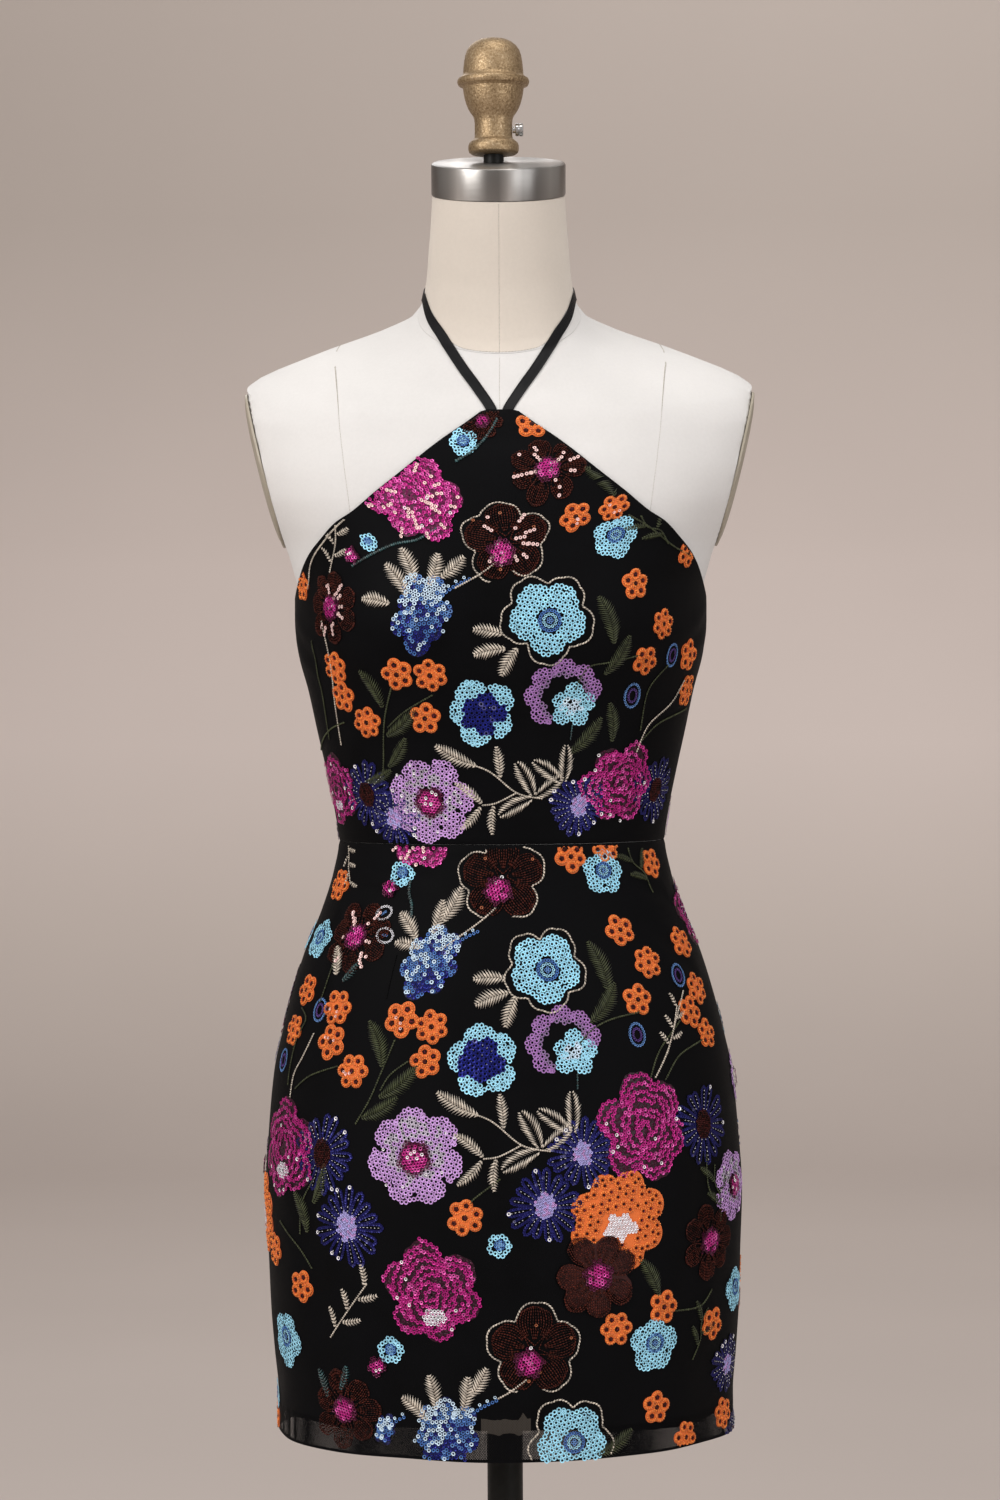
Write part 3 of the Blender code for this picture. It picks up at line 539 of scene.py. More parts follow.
def satin_material():
    """Black satin with fine ribs across."""
    n = Nodes("black_satin_ribbon")
    ribs = n.new("TexWave", n.coordinates("UV"), Scale=900.0, Distortion=0.4, Detail=1.0,
                 bands_direction="Y")
    n.colour(n.noise(60), (0.3, (0.003, 0.003, 0.004)), (0.7, (0.007, 0.007, 0.008)))
    n.roughness(n.noise(900), 0.34, 0.46)
    n.bump(ribs.outputs["Fac"], 0.03 * MM)
    n.set(Anisotropic=0.4, Specular_IOR_Level=0.14)
    return n.material


def metal_material(name, dark, light, rough, scale, depth, metal=1.0, gloss=0.5):
    """Metal or paint with a fine grain and a faint patina."""
    n = Nodes(name)
    grain = n.noise(scale, 5, 0.6)
    mixed = n.mix(grain, 0.5, n.noise(30, 4), 0.5)
    n.colour(mixed, (0.35, dark), (0.65, light))
    n.roughness(mixed, rough + 0.12, rough - 0.08)
    n.bump(grain, depth)
    n.set(Metallic=metal, Specular_IOR_Level=gloss)
    return n.material


def brushed_material():
    """Steel brushed round its rim, with painted reflections: light and dark bands by turns across it,
    dark at both edges.
    """
    n = Nodes("brushed_steel")
    across = n.maths("ADD", n.maths("MULTIPLY", n.xyz()["X"], 0.5 / CAP_RADIUS), 0.5)
    lines = n.new("Mapping", n.coordinates(), Scale=(6, 6, 900))
    grain = n.noise(3.0, 6, 0.7, lines.outputs["Vector"])
    # Painted reflections: the cap's tone from its left edge to its right.
    painted_light_tones = ((0.0, 0.13), (0.05, 0.24), (0.13, 0.40), (0.20, 0.66), (0.30, 0.40), (0.42, 0.24),
             (0.50, 0.25), (0.58, 0.50), (0.68, 0.24), (0.78, 0.22), (0.88, 0.42), (0.95, 0.34),
             (1.0, 0.15))
    n.colour(across, *((place, (tone, 0.965 * tone, 0.93 * tone)) for place, tone in painted_light_tones))
    n.roughness(grain, 0.30, 0.42)
    n.bump(grain, 0.03 * MM)
    n.set(Metallic=1.0, Anisotropic=0.7, Anisotropic_Rotation=0.25)
    return n.material


def bronze_material():
    """Sand-cast bronze with a speckled skin."""
    n = Nodes("cast_bronze")
    coarse = n.noise(640, 4, 0.75)
    speck = n.new("TexVoronoi", n.coordinates(), Scale=620.0).outputs["Distance"]
    n.colour(n.mix(coarse, 0.7, n.noise(38, 4, 0.6), 0.3),
             (0.36, (0.15, 0.095, 0.048)), (0.46, (0.29, 0.20, 0.108)),
             (0.56, (0.39, 0.28, 0.165)), (0.70, (0.66, 0.53, 0.38)))
    n.roughness(coarse, 0.58, 0.38)
    n.bump(n.mix(coarse, 0.6, speck, 0.5), 0.35 * MM, 0.9)
    n.set(Metallic=0.75)
    return n.material


def dress_materials():
    """The sequins, beads and threads, by the names that the stitches are sewn under."""
    kinds = {}
    plain = "light_blue sky mid_blue steel_blue lilac pale_lilac violet mauve dusk ice copper"
    # Where given, the last number is the share of rings whitened as painted glints.
    for names, *look in (
        (plain, 0.10, 0.42, 0.22),
        ("violet_grey", 0.1, 0.4, 0.25),
        ("royal navy", 0.5, 0.30, 0.4, 0.02),
        ("magenta pink deep_magenta", 0.35, 0.34, 0.3, 0.012),
        ("silver pearl blush", 0.15, 0.3, 0.10),
    ):
        for name in names.split():
            kinds["sequin_" + name] = sequin_material(name, *look)
    kinds["bead_silver"] = sequin_material("silver", 0.5, 0.15, 0.1)
    kinds["bead_garnet"] = sequin_material("garnet", 0.5, 0.2, 0.3)
    for name, *look in (
        ("thread_beige", "beige", 0.6, 0.2, 0.32),
        ("thread_orange", "orange", 0.6, 0.1, 0.28),
        ("thread_olive", "olive", 0.5, 0.06, 0.45, 0.0, 0.25),
        ("thread_maroon", "maroon", 0.45, 0.01, 0.85, 0.0, 0.16),
        ("thread_brown", "brown", 0.45, 0.01, 0.85, 0.0, 0.16),
        ("thread_black", "cloth", 0.6, 0.02, 0.3, 0.0, 0.1),
        ("thread_rope", "beige", 0.6, 0.2, 0.5),
        ("thread_orange_flat", "burnt_orange", 0.7, 0.2, 0.0),
        ("thread_teal", "teal", 0.3, 0.1, 0.8, 0.6),
        ("seam_thread", "seam", 0.8, 0.2, 0.1),
    ):
        kinds[name] = thread_material(*look)
    for name, ink, darker in (("plum", "deep_magenta", 0.42), ("magenta", "magenta", 0.30),
                              ("royal", "royal", 0.3)):
        kinds["ground_" + name] = ground_material(ink, darker)
    return kinds


# ---------------------------------------------------------------- sewing
class Sewn:
    """Collects the rings and links of each material, and joins them into one mesh each."""

    def __init__(self):
        self.points, self.faces, self.count = {}, {}, {}

    def add(self, name, points, faces):
        """points is (elements, corners, 3) and faces the corner numbers of one element."""
        if not len(points):
            return
        start = self.count.get(name, 0)
        elements, corners = points.shape[:2]
        first = start + corners * np.arange(elements)[:, None, None]
        self.points.setdefault(name, []).append(points.reshape(-1, 3))
        self.faces.setdefault(name, []).append((first + faces[None]).reshape(-1, faces.shape[1]))
        self.count[name] = start + elements * corners

    def objects(self, materials):
        for name in self.points:
            points = np.concatenate(self.points[name])
            sizes = sorted({f.shape[1] for f in self.faces[name]})
            groups = [np.concatenate([f for f in self.faces[name] if f.shape[1] == k]) for k in sizes]
            slot = "canvas" if name.startswith("seam") else "embroidered_cloth"
            register(mesh_object(name, points, groups), materials[name], slot)


def mesh_object(name, points, groups):
    """A mesh object from points and groups of faces that have the same number of corners."""
    mesh = bpy.data.meshes.new(name)
    loops = np.concatenate([g.reshape(-1) for g in groups]).astype(np.int32)
    sizes = np.concatenate([np.full(len(g), g.shape[1]) for g in groups])
    mesh.vertices.add(len(points))
    mesh.vertices.foreach_set("co", np.ascontiguousarray(points, np.float32).reshape(-1))
    mesh.loops.add(len(loops))
    mesh.loops.foreach_set("vertex_index", loops)
    mesh.polygons.add(len(sizes))
    starts = np.concatenate(([0], np.cumsum(sizes)[:-1])).astype(np.int32)
    mesh.polygons.foreach_set("loop_start", starts)
    mesh.update(calc_edges=True)
    mesh.validate()
    mesh.shade_smooth()
    made = bpy.data.objects.new(name, mesh)
    bpy.context.collection.objects.link(made)
    return made


sewn = Sewn()
chance = np.random.default_rng(11)
RING_SIDES = 7
EDGE_ROOM = 1.1 * MM  # stitches stop this far from a seam or an edge
DRESS_RADIUS = 0.15  # about, to turn that into an angle
ZIP_ROOM = 0.022  # and this far from the centre back, in radians


class Patch:
    """A flat drawing in millimetres, laid on a surface round one place."""

    def __init__(self, height, turn, panel, spin=0.0, surface=None):
        self.height, self.turn, self.panel = height, turn, panel
        self.rise = 0.0  # how far over the cloth the whole drawing is raised
        self.surface = surface or cloth
        self.spin = math.radians(spin)
        here = np.array(height), np.array(turn)
        self.per_turn = float(self.surface.look(self.surface.per_turn, *here))
        self.per_height = float(self.surface.look(self.surface.per_height, *here))

    def where(self, places):
        """The heights and turns of places in the drawing."""
        across, up = np.moveaxis(spun(places, self.spin) * MM, -1, 0)
        return self.height + up / self.per_height, self.turn + across / self.per_turn

    def inside(self, places):
        """Which places lie on the patch's own panel."""
        height, turn = self.where(places)
        if self.panel == "form":
            return np.ones(height.shape, bool)
        turn = wrapped(turn)
        reach = np.abs(turn)
        seam = 0.6 * EDGE_ROOM / DRESS_RADIUS
        if self.panel.endswith("front"):
            good = reach < math.pi / 2 - seam
        else:
            good = (reach > math.pi / 2 + seam) & (reach < math.pi - ZIP_ROOM)
            good &= (turn > 0) == (wrapped(self.turn) > 0)
        if self.panel.startswith("bodice"):
            good &= (height > WAIST + 1.3 * EDGE_ROOM) & (height < bodice_top(turn) - EDGE_ROOM)
        else:
            good &= (height < WAIST - 1.3 * EDGE_ROOM) & (height > HEM + 0.5 * EDGE_ROOM)
        return good

    def sew(self, name, places, lifts, faces):
        """Adds elements of a few corners each: places (elements, corners, 2) and their lifts."""
        raised = np.asarray(lifts, float) + self.rise
        sewn.add(name, self.surface.at(*self.where(places), raised * MM), faces)

    def rings(self, name, places, across=2.5, lift=0.55, hole=0.52):
        """Sequins at (n, 2) places: shallow cups with a hole, each tipped a little."""
        places = np.asarray(places, float)
        places = places[self.inside(places)]
        if not len(places):
            return
        column = len(places), 1
        turns = 2 * np.pi * np.arange(RING_SIDES) / RING_SIDES + chance.uniform(0, 1, column)
        tip = chance.normal(0, 0.10, column)
        lean = chance.uniform(0, 2 * np.pi, column)
        raised = lift + chance.uniform(-0.10, 0.10, column)
        corners, lifts = [], []
        for radius, rise in ((across / 2, 0.12), (across / 2 * hole, -0.10)):
            corners.append(places[:, None] + radius * circle(turns))
            lifts.append(raised + rise + tip * np.cos(turns - lean) * radius)
        self.sew(name, np.concatenate(corners, 1), np.concatenate(lifts, 1), ring_quads(2, RING_SIDES))

    def links(self, name, start, end, wide, tall, lift=0.25, sides=4):
        """Stitches from start to end, (n, 2) each: slim bodies, thickest in the middle."""
        start, end = np.atleast_2d(start).astype(float), np.atleast_2d(end).astype(float)
        middle = (start + end) / 2
        keep = self.inside(middle) & self.inside(end) & self.inside(start)
        start, end, middle = start[keep], end[keep], middle[keep]
        if not len(start):
            return
        side = crosswise(unit(end - start))[:, None]
        angle = 2 * np.pi * np.arange(sides) / sides + np.pi / sides * (sides == 3)
        body = middle[:, None] + side * wide / 2 * np.cos(angle)[:, None]
        places = np.concatenate((start[:, None], body, end[:, None]), 1)
        lifts = lift + tall / 2 * np.array((0, *(1 + np.sin(angle)), 0))
        k = np.arange(sides)
        n = (k + 1) % sides
        ends = (0 * k, k + 1, n + 1), (0 * k + sides + 1, n + 1, k + 1)
        self.sew(name, places, lifts, np.concatenate([np.stack(end, 1) for end in ends]))

    def rope(self, name, path, wide=1.7, pitch=1.9, tall=1.5, lift=0.1, sides=4, sway=0.16,
             twist=0.0):
        """Chain stitch along a path of (n, 2) places, or a cord of slanting strands."""
        places = evenly(path, pitch)
        if len(places) < 2:
            return
        along = np.diff(places, axis=0)
        sways = sway * np.where(np.arange(len(along)) % 2, 1, -1)[:, None]
        over = along * 0.22 + (sways + twist) * wide * crosswise(unit(along))
        self.links(name, places[:-1] - over, places[1:] + over, wide, tall, lift, sides)

    def ground(self, name, outline, lift=0.3, rings=7, around=60):
        """A flat stitched patch inside an outline of radius(angle)."""
        angle = 2 * np.pi * np.arange(around) / around
        share = np.linspace(0.02, 1, rings)[:, None]
        places = circle(angle) * (outline(angle) * share)[..., None]
        raised = lift * (1 - share**6) + 0.02 + 0 * angle
        faces = ring_quads(rings, around)[:, [0, 3, 2, 1]]
        faces = faces[self.inside(places).reshape(-1)[faces].all(1)]
        if len(faces):
            used, faces = np.unique(faces, return_inverse=True)
            places, raised = places.reshape(-1, 2)[used], raised.reshape(-1)[used]
            self.sew(name, places[None], raised[None], faces.reshape(-1, 4))


def ring_quads(count, around):
    """The quads between rings of corners that are numbered one ring after another."""
    grid = np.arange(count * around).reshape(count, around)
    after = np.roll(grid, -1, 1)
    return np.stack((grid[:-1], after[:-1], after[1:], grid[1:]), -1).reshape(-1, 4)


def ring_ends(count, around):
    """The triangles that close the first and last ring, to two corners that follow the rings."""
    k = np.arange(around)
    n = np.roll(k, -1)
    last = (count - 1) * around
    low, high = 0 * k + count * around, 0 * k + count * around + 1
    return np.concatenate((np.stack((n, k, low), 1), np.stack((k + last, n + last, high), 1)))


def circle(angle):
    """Places on the unit circle."""
    return np.stack((np.cos(angle), np.sin(angle)), -1)


def polar(places):
    """How far and which way places lie from the middle."""
    u, v = places.T
    return np.hypot(u, v), np.arctan2(v, u)


def crosswise(along):
    """The same vectors a quarter turn round."""
    return np.stack((-along[..., 1], along[..., 0]), -1)


def spun(places, angle):
    """The same places turned round the middle."""
    c, s = math.cos(angle), math.sin(angle)
    u, v = places[..., 0], places[..., 1]
    return np.stack((u * c - v * s, u * s + v * c), -1)


def evenly(path, pitch):
    """Places at an even pitch along a path."""
    path = np.asarray(path, float)
    far = np.concatenate(([0], np.cumsum(np.linalg.norm(np.diff(path, axis=0), axis=1))))
    at = np.linspace(0, far[-1], max(1, int(round(far[-1] / pitch))) + 1)
    return np.stack([np.interp(at, far, column) for column in path.T], 1)


def curve(*points, steps=12):
    """A smooth path through a few places."""
    points = np.array(points, float)
    held = np.concatenate((points[:1], points, points[-1:]))
    t = np.linspace(0, 1, steps, endpoint=False)[:, None]
    path = [
        0.5 * (2 * b + (c - a) * t + (2 * a - 5 * b + 4 * c - d) * t**2
               + (3 * b - 3 * c + d - a) * t**3)
        for a, b, c, d in zip(held, held[1:], held[2:], held[3:])
    ]
    return np.concatenate((*path, points[-1:]))


def hexes(reach, pitch, spin=0.0):
    """Places on a staggered grid, in a square of the given half size."""
    count = int(reach / pitch) + 2
    i, j = np.meshgrid(np.arange(-count, count + 1), np.arange(-count, count + 1))
    u = (i + 0.5 * (j % 2)) * pitch + chance.normal(0, 0.035 * pitch, i.shape)
    v = j * pitch * 0.87 + chance.normal(0, 0.035 * pitch, i.shape)
    return spun(np.stack((u, v), -1).reshape(-1, 2), spin)


def lobed(radius, count, start=0.0, seed=0, round_share=0.43, uneven=0.07, ruffle=0.0, ruffles=0):
    """An outline of round lobes: a radius for each angle."""
    own = np.random.default_rng(seed)
    reach = radius * (1 + own.uniform(-uneven, uneven * 0.3, count))
    aims = start + 2 * np.pi * (np.arange(count) + own.uniform(-0.10, 0.10, count)) / count
    phase = own.uniform(0, 2 * np.pi)

    def outline(angle):
        best = np.full(angle.shape, 0.35 * radius)
        for far, aim in zip(reach, aims):
            off = (angle - aim + np.pi) % (2 * np.pi) - np.pi
            middle, wide = far * (1 - round_share), far * round_share
            inner = wide**2 - (middle * np.sin(off)) ** 2
            lobe = middle * np.cos(off) + np.sqrt(np.maximum(inner, 0))
            best = np.where((inner > 0) & (np.abs(off) < 1.4), np.maximum(best, lobe), best)
        if ruffles:
            best = best * (1 - ruffle * (1 - np.abs(np.sin(ruffles / 2 * angle + phase)) ** 0.7))
        return best

    return outline


def edge_path(outline, first=0.0, last=2 * math.pi):
    """Points along an outline."""
    angle = np.linspace(first, last, 260)
    return circle(angle) * outline(angle)[:, None]


def filled(outline, pitch, spin=0.0):
    """Sequin places that fill an outline, with a row that follows its edge."""
    rim = evenly(edge_path(outline) * (1 - 0.5 * pitch / outline(np.zeros(1))[0]), pitch)[:-1]
    places = hexes(outline(np.linspace(0, 6.3, 90)).max(), pitch, spin)
    far, angle = polar(places)
    return np.concatenate((places[far < outline(angle) - 0.95 * pitch], rim))


# ---------------------------------------------------------------- flowers and leaves
# Each takes a patch, its size in millimetres and a seed for what is uneven in it.
SMALL, FINE = 3.6, 3.45  # sequin pitches in millimetres
WIDE, NARROW = 3.85, 3.7  # and the sequins' own sizes at those pitches


def painted_glints(patch, count, radius, seed, middle=(0, 0), across=2.7, lift=1.3, name="pearl"):
    """A few pale sequins that stand in for light flashing off the sequins: painted glints."""
    own = np.random.default_rng(seed + 7)
    angle, far = own.uniform(0, 2 * np.pi, count), radius * own.uniform(0.15, 1, count) ** 0.6
    patch.rings("sequin_" + name, middle + circle(angle) * far[:, None], across, lift)


def painted_glint_rows(patch, radius, seed, count=13):
    """Pale sequins, singly and in short rows, as painted glints of light on the sequins."""
    own = np.random.default_rng(seed + 3)
    for _ in range(count):
        aim, far = own.uniform(0, 2 * np.pi), radius * own.uniform(0.40, 0.98)
        row = -own.uniform(2.8, 3.1) * np.arange(own.integers(1, 4))[:, None]
        patch.rings("sequin_blush", circle(aim) * (far + row), 2.9, 1.25, 0.36)


def heart(patch, radius, middle, seed):
    """A domed cluster of magenta sequins, darker at its edge."""
    places = hexes(radius, 2.45, 0.4 * seed)
    far, angle = polar(places)
    keep = far < radius * (1 + 0.10 * np.cos(5 * angle + seed))
    places, far = places[keep], far[keep]
    dome = 1.6 * (1 - (far / (1.12 * radius)) ** 2)
    dark = (far > 0.70 * radius) | (chance.uniform(size=len(far)) < 0.15)
    bright = ~dark & (chance.uniform(size=len(far)) < 0.28)
    for name, these, size in (("deep_magenta", dark, 2.6), ("magenta", ~dark & ~bright, 2.7),
                              ("pink", bright, 2.9)):
        for layer in (0.8, 1.4, 2.2):
            here = these & (np.abs(0.75 + dome - layer) < (0.3 if layer < 2 else 0.8))
            patch.rings("sequin_" + name, places[here] + middle, size, layer)


def cord(patch, outline, first=0.0, last=2 * math.pi):
    """A thin twisted beige cord along an outline."""
    patch.rope("thread_rope", edge_path(outline, first, last), 1.35, 2.3, 1.4, 0.1, 4, 0.0, 0.42)


def oval_row(patch, name, halves, pitch, across, lift=0.55, middle=(0, 0)):
    """One row of sequins round an oval."""
    ring = circle(np.linspace(0, 2 * np.pi, 60)) * halves + middle
    patch.rings("sequin_" + name, evenly(ring, pitch)[:-1], across, lift)


def round_eye(patch, middle, radius):
    """A round eye: a dark blue row of sequins, a pale row inside it and a blue heart."""
    oval_row(patch, "mid_blue", radius, 2.0, 2.5, 0.9, middle)
    oval_row(patch, "sky", 0.62 * radius, 2.5, 2.4, 0.6, middle)
    oval_row(patch, "steel_blue", 0.2 * radius, 2.0, 2.4, 0.9, middle)


def blue_flower(patch, across, seed):
    """Light blue ruffled flower with a mid-blue eye, in a loose beige outline."""
    start = 0.9 + 0.15 * (seed % 3)
    radius = across * 0.42
    places = filled(lobed(radius, 5, start, seed, 0.46, 0.07, 0.07, 15), SMALL, 0.3 * seed)
    middle = np.array((0.04, -0.06)) * radius
    rest = polar(places - middle)[0] > 0.27 * radius + 1.2
    patch.rings("sequin_light_blue", places[rest], WIDE)
    round_eye(patch, middle, 0.25 * radius)
    cord(patch, lobed(across * 0.52, 5, start, seed, 0.44, 0.12, 0.05, 13))


def blue_navy(patch, across, seed):
    """Light blue petals round a broad navy heart."""
    radius = across / 2
    start = 0.5 + 0.2 * (seed % 3)
    places = filled(lobed(radius, 5, start, seed, 0.43, 0.12, 0.06, 15), SMALL, 0.2 * seed)
    far, angle = polar(places)
    inner = far < lobed(0.62 * radius, 5, start + 0.5, seed + 1, 0.42, 0.12)(angle)
    split = np.abs((angle - start) / (2 * np.pi / 5) % 1 - 0.5) < 0.05 * np.cos(2 * angle) ** 2
    patch.rings("sequin_light_blue", places[~inner & ~split], WIDE)
    patch.rings("sequin_royal", places[inner], WIDE, 0.7)
    bright = inner & (chance.uniform(size=len(far)) < 0.12) & (far / radius > 0.12)
    start = places[bright]
    patch.links("bead_silver", start, start * (1 + 1.6 / far[bright])[:, None], 0.6, 0.6, 1.2, 3)


def small_blue(patch, across, seed):
    """A small light blue blossom with a darker eye."""
    radius = across / 2
    places = filled(lobed(radius, 5, 0.5 * seed, seed, 0.45, 0.08, 0.04, 11), FINE, 0.2 * seed)
    middle = np.array((0, 0.08 * radius))
    rest = polar(places - middle)[0] > 0.30 * radius + 1.0
    patch.rings("sequin_light_blue", places[rest], NARROW)
    round_eye(patch, middle, 0.30 * radius)


def blue_oval(patch, across, seed):
    """A little blue oval with a dark middle."""
    for name, share in (("steel_blue", 0.95), ("violet", 0.52)):
        oval_row(patch, name, (share * across / 2, 1.35 * share * across / 2), 2.1, 2.1)


def silver_oval(patch, across, seed):
    """A little oval outlined in silver."""
    oval_row(patch, "silver", (across / 2, 0.75 * across / 2), 2.0, 2.0)
    patch.rings("sequin_steel_blue", ((0, 0), (1.6, 0.4), (-1.6, -0.4)), 2.0)


def petal(patch, name, aim, reach, wide, base=0.16, spacing=1.75):
    """A round-ended petal of chain-stitch rows that run from its base to its tip."""
    rows = max(3, int(round(2 * wide / spacing)))
    tips = []
    for side in np.linspace(-1, 1, rows):
        t = np.linspace(0, 1 - 0.17 * side * side, 20)
        spread = np.where(t < 0.6, np.sin(np.pi / 2 * t / 0.6) ** 1.1,
                          1 - 0.33 * ((t - 0.6) / 0.4) ** 2)
        path = np.stack((reach * (base + (1 - base) * t), side * wide * spread), 1)
        if abs(side) < 0.99:
            path = path[5 * (abs(side) > 0.3) + 3 * (int(round(side * rows)) % 2):]
        path = spun(path, aim)
        tips.append(path[-1])
        patch.rope(name, path, 1.3, 2.1, 1.15, 0.15, 3, 0.12)
    patch.rope(name, tips, 1.35, 2.1, 1.3, 0.15, 3, 0.1)


def maroon_outlined(patch, across, seed):
    """Dark maroon petals with a magenta heart set low, in a beige outline."""
    radius = across * 0.44
    start = math.pi / 2 + 0.06 * (seed % 3)
    for k in range(5):
        petal(patch, "thread_maroon", start + 2 * math.pi * k / 5, radius, radius * 0.40, 0.10)
    heart(patch, radius * 0.34, (-0.12 * radius, -0.30 * radius), seed)
    # White sequins by the heart and copper ones over the petals: painted glints.
    painted_glints(patch, 2, radius * 0.3, seed, (-0.1 * radius, -0.2 * radius))
    painted_glints(patch, 4, radius * 0.95, seed, (0, 0), 2.4, 1.1, "copper")
    cord(patch, lobed(across * 0.50, 5, start, seed, 0.43, 0.06, 0.04, 13), -1.35, 2 * math.pi - 1.95)


def lit_maroon(patch, across, seed):
    """The same flower, lit: rows of pale sequins on its petals as painted glints."""
    maroon_outlined(patch, across, seed)
    painted_glint_rows(patch, across * 0.40, seed)


def maroon_flower(patch, across, seed):
    """Seven maroon petals and a magenta heart."""
    radius = across / 2
    for k in range(7):
        aim = 0.3 * seed + 2 * math.pi * (k + 0.12 * math.sin(5 * k + seed)) / 7
        reach = radius * (0.95 + 0.05 * math.sin(3 * k + seed))
        petal(patch, "thread_maroon", aim, reach, radius * 0.27, 0.2, 1.45)
    heart(patch, radius * 0.33, (0, 0), seed)


def lit_maroon_flower(patch, across, seed):
    """The maroon flower with rows of pale sequins and a few white ones, as painted glints."""
    maroon_flower(patch, across, seed)
    painted_glint_rows(patch, across * 0.45, seed)
    painted_glints(patch, 3, across * 0.1, seed)


def upper_maroon(patch, across, seed):
    """A maroon flower sewn over its neighbour."""
    patch.rise = 1.2
    patch.ground("thread_brown", lobed(across * 0.46, 7, 0.3 * seed, seed, 0.30, 0.03))
    maroon_flower(patch, across, seed)


def lilac_flower(patch, across, seed, sparks=7):
    """A large ruffled lilac flower with a silvery ring and a magenta heart."""
    radius = across / 2
    start = 0.3 + 0.1 * seed
    places = filled(lobed(radius, 7, start, seed, 0.36, 0.05, 0.06, 21), FINE, 0.25 * seed)
    far, angle = polar(places)
    far = far / radius
    split = (np.abs((angle - start) / (2 * np.pi / 7) % 1 - 0.5) < 0.03) & (far > 0.55)
    inner = (far < 0.60 + 0.12 * np.sin(angle) + 0.07 * np.cos(7 * angle)) & (far > 0.30)
    patch.rings("sequin_mauve", places[~inner & (far > 0.30) & ~split], NARROW)
    grey = inner & (chance.uniform(size=len(far)) < 0.6)
    patch.rings("sequin_dusk", places[grey], NARROW)
    patch.rings("sequin_mauve", places[inner & ~grey], NARROW)
    heart(patch, radius * 0.34, (0, -0.03 * radius), seed)
    # White sequins over the heart and over the petals: painted glints.
    painted_glints(patch, 5, radius * 0.22, seed, (0, 0), 2.6, 2.5)
    painted_glints(patch, sparks, radius * 0.9, seed + 1, (0, 0), 2.2, 0.9)


def bright_lilac(patch, across, seed):
    # More white sequins over the petals: painted glints.
    lilac_flower(patch, across, seed, 16)


def lilac_arc(patch, across, seed):
    """A lilac scalloped crescent, with a light blue blossom inside its open corner."""
    radius = across / 2
    places = filled(lobed(radius, 9, 0.3, seed, 0.27, 0.04, 0.04, 25), FINE, 0.3)
    far, angle = polar(places)
    far = far / radius
    open_corner = np.cos(angle + math.radians(62)) > math.cos(math.radians(56))
    keep = (far > 0.53 + 0.03 * np.cos(6 * angle)) & ~open_corner
    patch.rings("sequin_violet_grey", places[keep & (far < 0.62)], NARROW)
    patch.rings("sequin_lilac", places[keep & (far >= 0.62)], NARROW)
    places = filled(lobed(radius * 0.60, 5, 0.25, seed + 3, 0.34, 0.16, 0.05, 13), FINE, 0.1)
    pale = polar(places)[0] < 0.25 * radius * chance.uniform(0.5, 1.2, len(places))
    places += (0.20 * radius, -0.20 * radius)
    patch.rings("sequin_light_blue", places[~pale], NARROW)
    patch.rings("sequin_ice", places[pale], NARROW)
    tail = curve((0.24 * radius, -0.7 * radius), (0.22 * radius, -1.1 * radius))
    patch.rope("thread_teal", tail, 1.5)


def daisy(patch, across, seed, lit):
    """Slim navy petals with a row of silver beads in each."""
    radius, count = across / 2, 17
    for k in range(count):
        along = circle(2 * math.pi * (k + 0.15 * math.sin(3 * k + seed)) / count)
        far = radius * (0.92 + 0.08 * math.sin(5 * k + seed))
        base = 0.32 * radius
        t = np.linspace(0, 1, 40)[:, None]
        width = 0.082 * radius * np.sin(np.pi * (t * 0.55 + 0.10)) ** 0.6
        width = width * np.clip((1 - t) / 0.12, 0, 1) ** 0.5
        spine = along * (base + (far - base) * t)
        for sign in (-1, 1):
            places = evenly(spine + crosswise(along) * width * sign, 1.9)
            patch.rings("sequin_navy", places, 2.5, 0.45, 0.26)
        beads = evenly(along * np.linspace(base * 1.05, far * 0.95, 5)[:, None], 2.9)
        step = np.diff(beads, axis=0)
        shown = chance.uniform(size=len(step)) < 0.85
        start = beads[:-1] + 0.12 * step
        patch.links("bead_silver", start[shown], (start + 0.66 * step)[shown], 0.85, 0.8, 0.75, 3)
        # A white sequin at a lit share of the tips: a painted glint.
        if chance.uniform() < lit:
            patch.rings("sequin_pearl", [along * (far - 0.9)], 3.0, 1.0)


def navy_daisy(patch, across, seed):
    """The daisy with a pale lilac heart."""
    radius = across / 2
    daisy(patch, across, seed, 0.35)
    places = hexes(radius * 0.38, 2.15, 0.3 * seed)
    edge = radius * (0.31 + 0.03 * np.cos(7 * polar(places)[1]))
    places = places[polar(places * (1.12, 0.9))[0] < edge]
    dim = chance.uniform(size=len(places)) < 0.3
    patch.rings("sequin_pale_lilac", places[~dim], 2.2, 1.0, 0.36)
    patch.rings("sequin_mauve", places[dim], 2.1, 0.8, 0.36)


def brown_daisy(patch, across, seed):
    """The daisy with a heart of brown stitches."""
    radius = across / 2
    daisy(patch, across, seed, 0.2)
    places = hexes(radius * 0.36, 1.6)
    places = places[polar(places * (1, 0.78))[0] < radius * 0.29]
    patch.links("thread_brown", places - (0, 1.2), places + (0, 1.2), 1.5, 1.5, 0.4)


